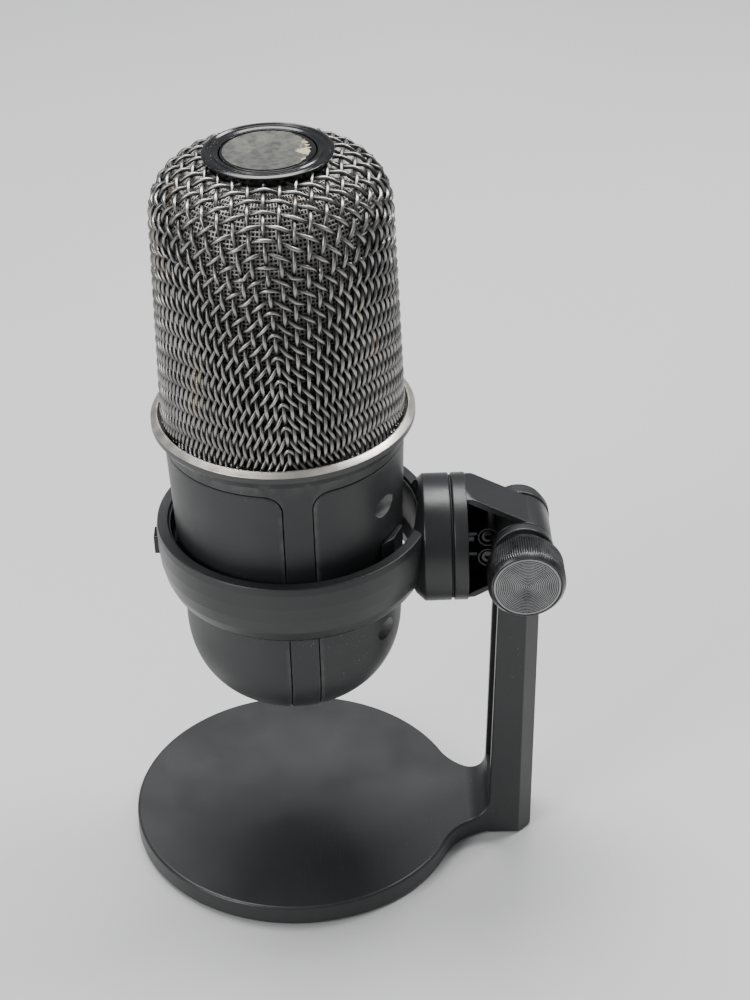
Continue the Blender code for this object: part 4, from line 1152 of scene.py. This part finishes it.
def build_liner():
    """The fine inner mesh: upright wires and hoops."""
    form = Form(1.98, -0.3)
    runs, columns, pitch, wire = [], 168, 0.88, 0.2
    start = float(np.interp(11.9, form.radius[: len(form.dome_way)], form.way[: len(form.dome_way)]))
    end = form.way[-1]
    dome_end = form.dome_way[0]
    steps = np.concatenate([np.linspace(start, dome_end, 22), np.linspace(dome_end, end, 10)[1:]])
    for k in range(columns):
        turn = np.full(len(steps), TAU * k / columns)
        runs.append((form.at(steps, turn), form.normal(steps, turn), np.zeros(len(steps))))
    upright = tubes("liner_uprights", runs, wire, 4, AT_MIC)
    verts, quads, first, around = [], [], 0, 120
    turn = TAU * np.arange(around) / around
    for way in np.arange(start + 0.2, end, pitch):
        middle, normal = form.at(way + 0 * turn, turn), form.normal(way + 0 * turn, turn)
        side = np.cross(normal, np.stack([-np.sin(turn), np.cos(turn), 0 * turn], -1))
        for a, b in ((1, 0), (0, 1), (-1, 0), (0, -1)):
            verts.append(middle + wire * (a * normal + b * side))
        k = np.arange(around)
        for ring in range(4):
            low, high = first + ring * around, first + (ring + 1) % 4 * around
            quads.append(np.stack([low + k, low + (k + 1) % around, high + (k + 1) % around, high + k], -1))
        first += 4 * around
    hoops = quad_mesh("liner_hoops", np.concatenate(verts), np.concatenate(quads), AT_MIC)
    for piece in (upright, hoops):
        stands_for(piece, "grille_liner", look=extra["liner"])
    # A near-black sheet just inside the liner paints the shade inside the grille.
    outline = []
    for offset in (2.12, 2.5):
        sheet = Form(offset, -0.3)
        ways = np.linspace(float(np.interp(11.6, sheet.radius[:400], sheet.way[:400])), sheet.way[-1], 40)
        middle = sheet.at(ways, 0 * ways)
        outline.append([(float(r), float(z)) for r, _, z in middle])
    cloth = turned("liner_shade_sheet", outline[0] + outline[1][::-1], AT_MIC, steps=120)
    stands_for(cloth, "grille_liner", look=extra["cloth"])


def build_trim():
    rim = [
        (26.5, 0.9, 0.1),
        (26.85, 0.9, 0.15),
        (FLANGE_RADIUS, 0.05, 0.18),
        (FLANGE_RADIUS, -1.2, 0.25),
        (26.4, -3.4, 0.2),
        (25.95, -3.4),
        (25.95, -1.3),
        (23.6, -1.3),
        (23.6, -0.6),
        (26.5, -0.6),
    ]
    flange_ring = turned("grille_flange", rounded(rim, 5), AT_MIC, steps=220)
    flange_ring.data.materials.append(extra["rim_coat"])
    flange_ring.data.materials.append(looks["satin_metal"])
    for face in flange_ring.data.polygons:
        centre = face.center / MM
        if centre.z > 0.0 and math.hypot(centre.x, centre.y) > 26.45:
            face.material_index = 1
    stands_for(flange_ring, "grille_rim")

    low = CAP_TOP - 0.6
    cap = [
        (CAP_RADIUS, CAP_TOP - 0.25, 0.25),
        (12.45, CAP_TOP + 0.05, 0.2),
        (12.0, CAP_TOP - 0.32, 0.15),
        (11.2, CAP_TOP - 0.34, 0.1),
        (10.9, CAP_TOP - 0.1, 0.12),
        (10.4, CAP_TOP - 0.34, 0.1),
        (9.9, CAP_TOP - 0.36, 0.1),
        (9.9, 53.5),
        (11.7, 53.5),
        (11.7, low, 0.1),
        (CAP_RADIUS, low, 0.2),
    ]
    stands_for(turned("cap_ring", rounded(cap, 5), AT_MIC, steps=180), "cap_rim")
    top = CAP_TOP - 0.65
    disc = [(0, top - 1.5), (9.6, top - 1.5), (9.6, top + 0.25, 0.15), (0, top + 0.25)]
    stands_for(turned("touch_pad", rounded(disc), AT_MIC, steps=120), "touch_disc")
    # The film has torn away along part of its edge, and shows the black disc.
    rng = np.random.default_rng(5)
    outline = []
    for k in range(180):
        angle = math.radians(2 * k)
        bite = max(0.0, 1 - abs((math.degrees(angle) - 8 + 180) % 360 - 180) / 52) ** 0.6
        tear = bite * (0.5 + 1.5 * rng.random() * rng.random())
        tear += (0.22 if bite > 0 else 0.05) * rng.random()
        radius = LABEL_RADIUS - 0.1 - tear
        outline.append((radius * math.cos(angle), radius * math.sin(angle)))
    film = prism("cap_film", outline, top + 0.28, CAP_TOP - 0.25, AT_MIC)
    stands_for(film, "touch_label")


# Stage -----------------------------------------------------------------------------------------
def build_stage():
    mesh = bpy.data.meshes.new("floor")
    bm = bmesh.new()
    bmesh.ops.create_grid(bm, x_segments=8, y_segments=8, size=4.0)
    bm.to_mesh(mesh)
    bm.free()
    stage = bpy.data.objects.new("studio_floor", mesh)
    bpy.context.scene.collection.objects.link(stage)
    s = Shader("floor_paint", 0.6)
    s.colour(s.mix(s.span(s.noise(3, 2), 0.3, 0.7), (0.55, 0.55, 0.545), (0.60, 0.60, 0.595)))
    mesh.materials.append(s.material)


def add_light(name, place, target, size, energy):
    lamp = bpy.data.lights.new(name, "AREA")
    lamp.shape = "RECTANGLE"
    lamp.size, lamp.size_y = size
    lamp.energy = energy
    made = bpy.data.objects.new(name, lamp)
    bpy.context.scene.collection.objects.link(made)
    made.location = place
    made.rotation_euler = (Vector(target) - Vector(place)).to_track_quat("-Z", "Y").to_euler()


def build_light():
    world = bpy.data.worlds.new("studio")
    bpy.context.scene.world = world
    world.use_nodes = True
    sky = world.node_tree.nodes["Background"]
    sky.inputs["Color"].default_value = (0.92, 0.95, 1.0, 1.0)
    sky.inputs["Strength"].default_value = 0.3
    middle = (0.01, 0, 0.09)
    add_light("key", (-0.10, 0.28, 0.95), middle, (0.7, 0.45), 14.0)
    add_light("front", (-0.60, -0.55, 0.50), middle, (0.35, 0.5), 5.0)
    add_light("side", (0.48, 0.26, 0.80), middle, (0.25, 0.25), 5.0)


def build_camera():
    camera = bpy.data.cameras.new("camera")
    made = bpy.data.objects.new("camera", camera)
    bpy.context.scene.collection.objects.link(made)
    camera.lens = LENS
    camera.sensor_width = 36.0
    camera.clip_start, camera.clip_end = 0.01, 20.0
    heading = Matrix.Rotation(math.radians(HEADING), 4, "Z")
    dip = Matrix.Rotation(math.radians(90 - DOWNWARD), 4, "X")
    roll = Matrix.Rotation(math.radians(ROLL), 4, "Z")
    made.matrix_world = Matrix.Translation(CAMERA_PLACE) @ heading @ dip @ roll
    bpy.context.scene.camera = made


build_camera()
build_stand()
build_knob()
build_bracket()
build_cradle()
build_body()
build_weave()
build_liner()
build_trim()
build_stage()
build_light()
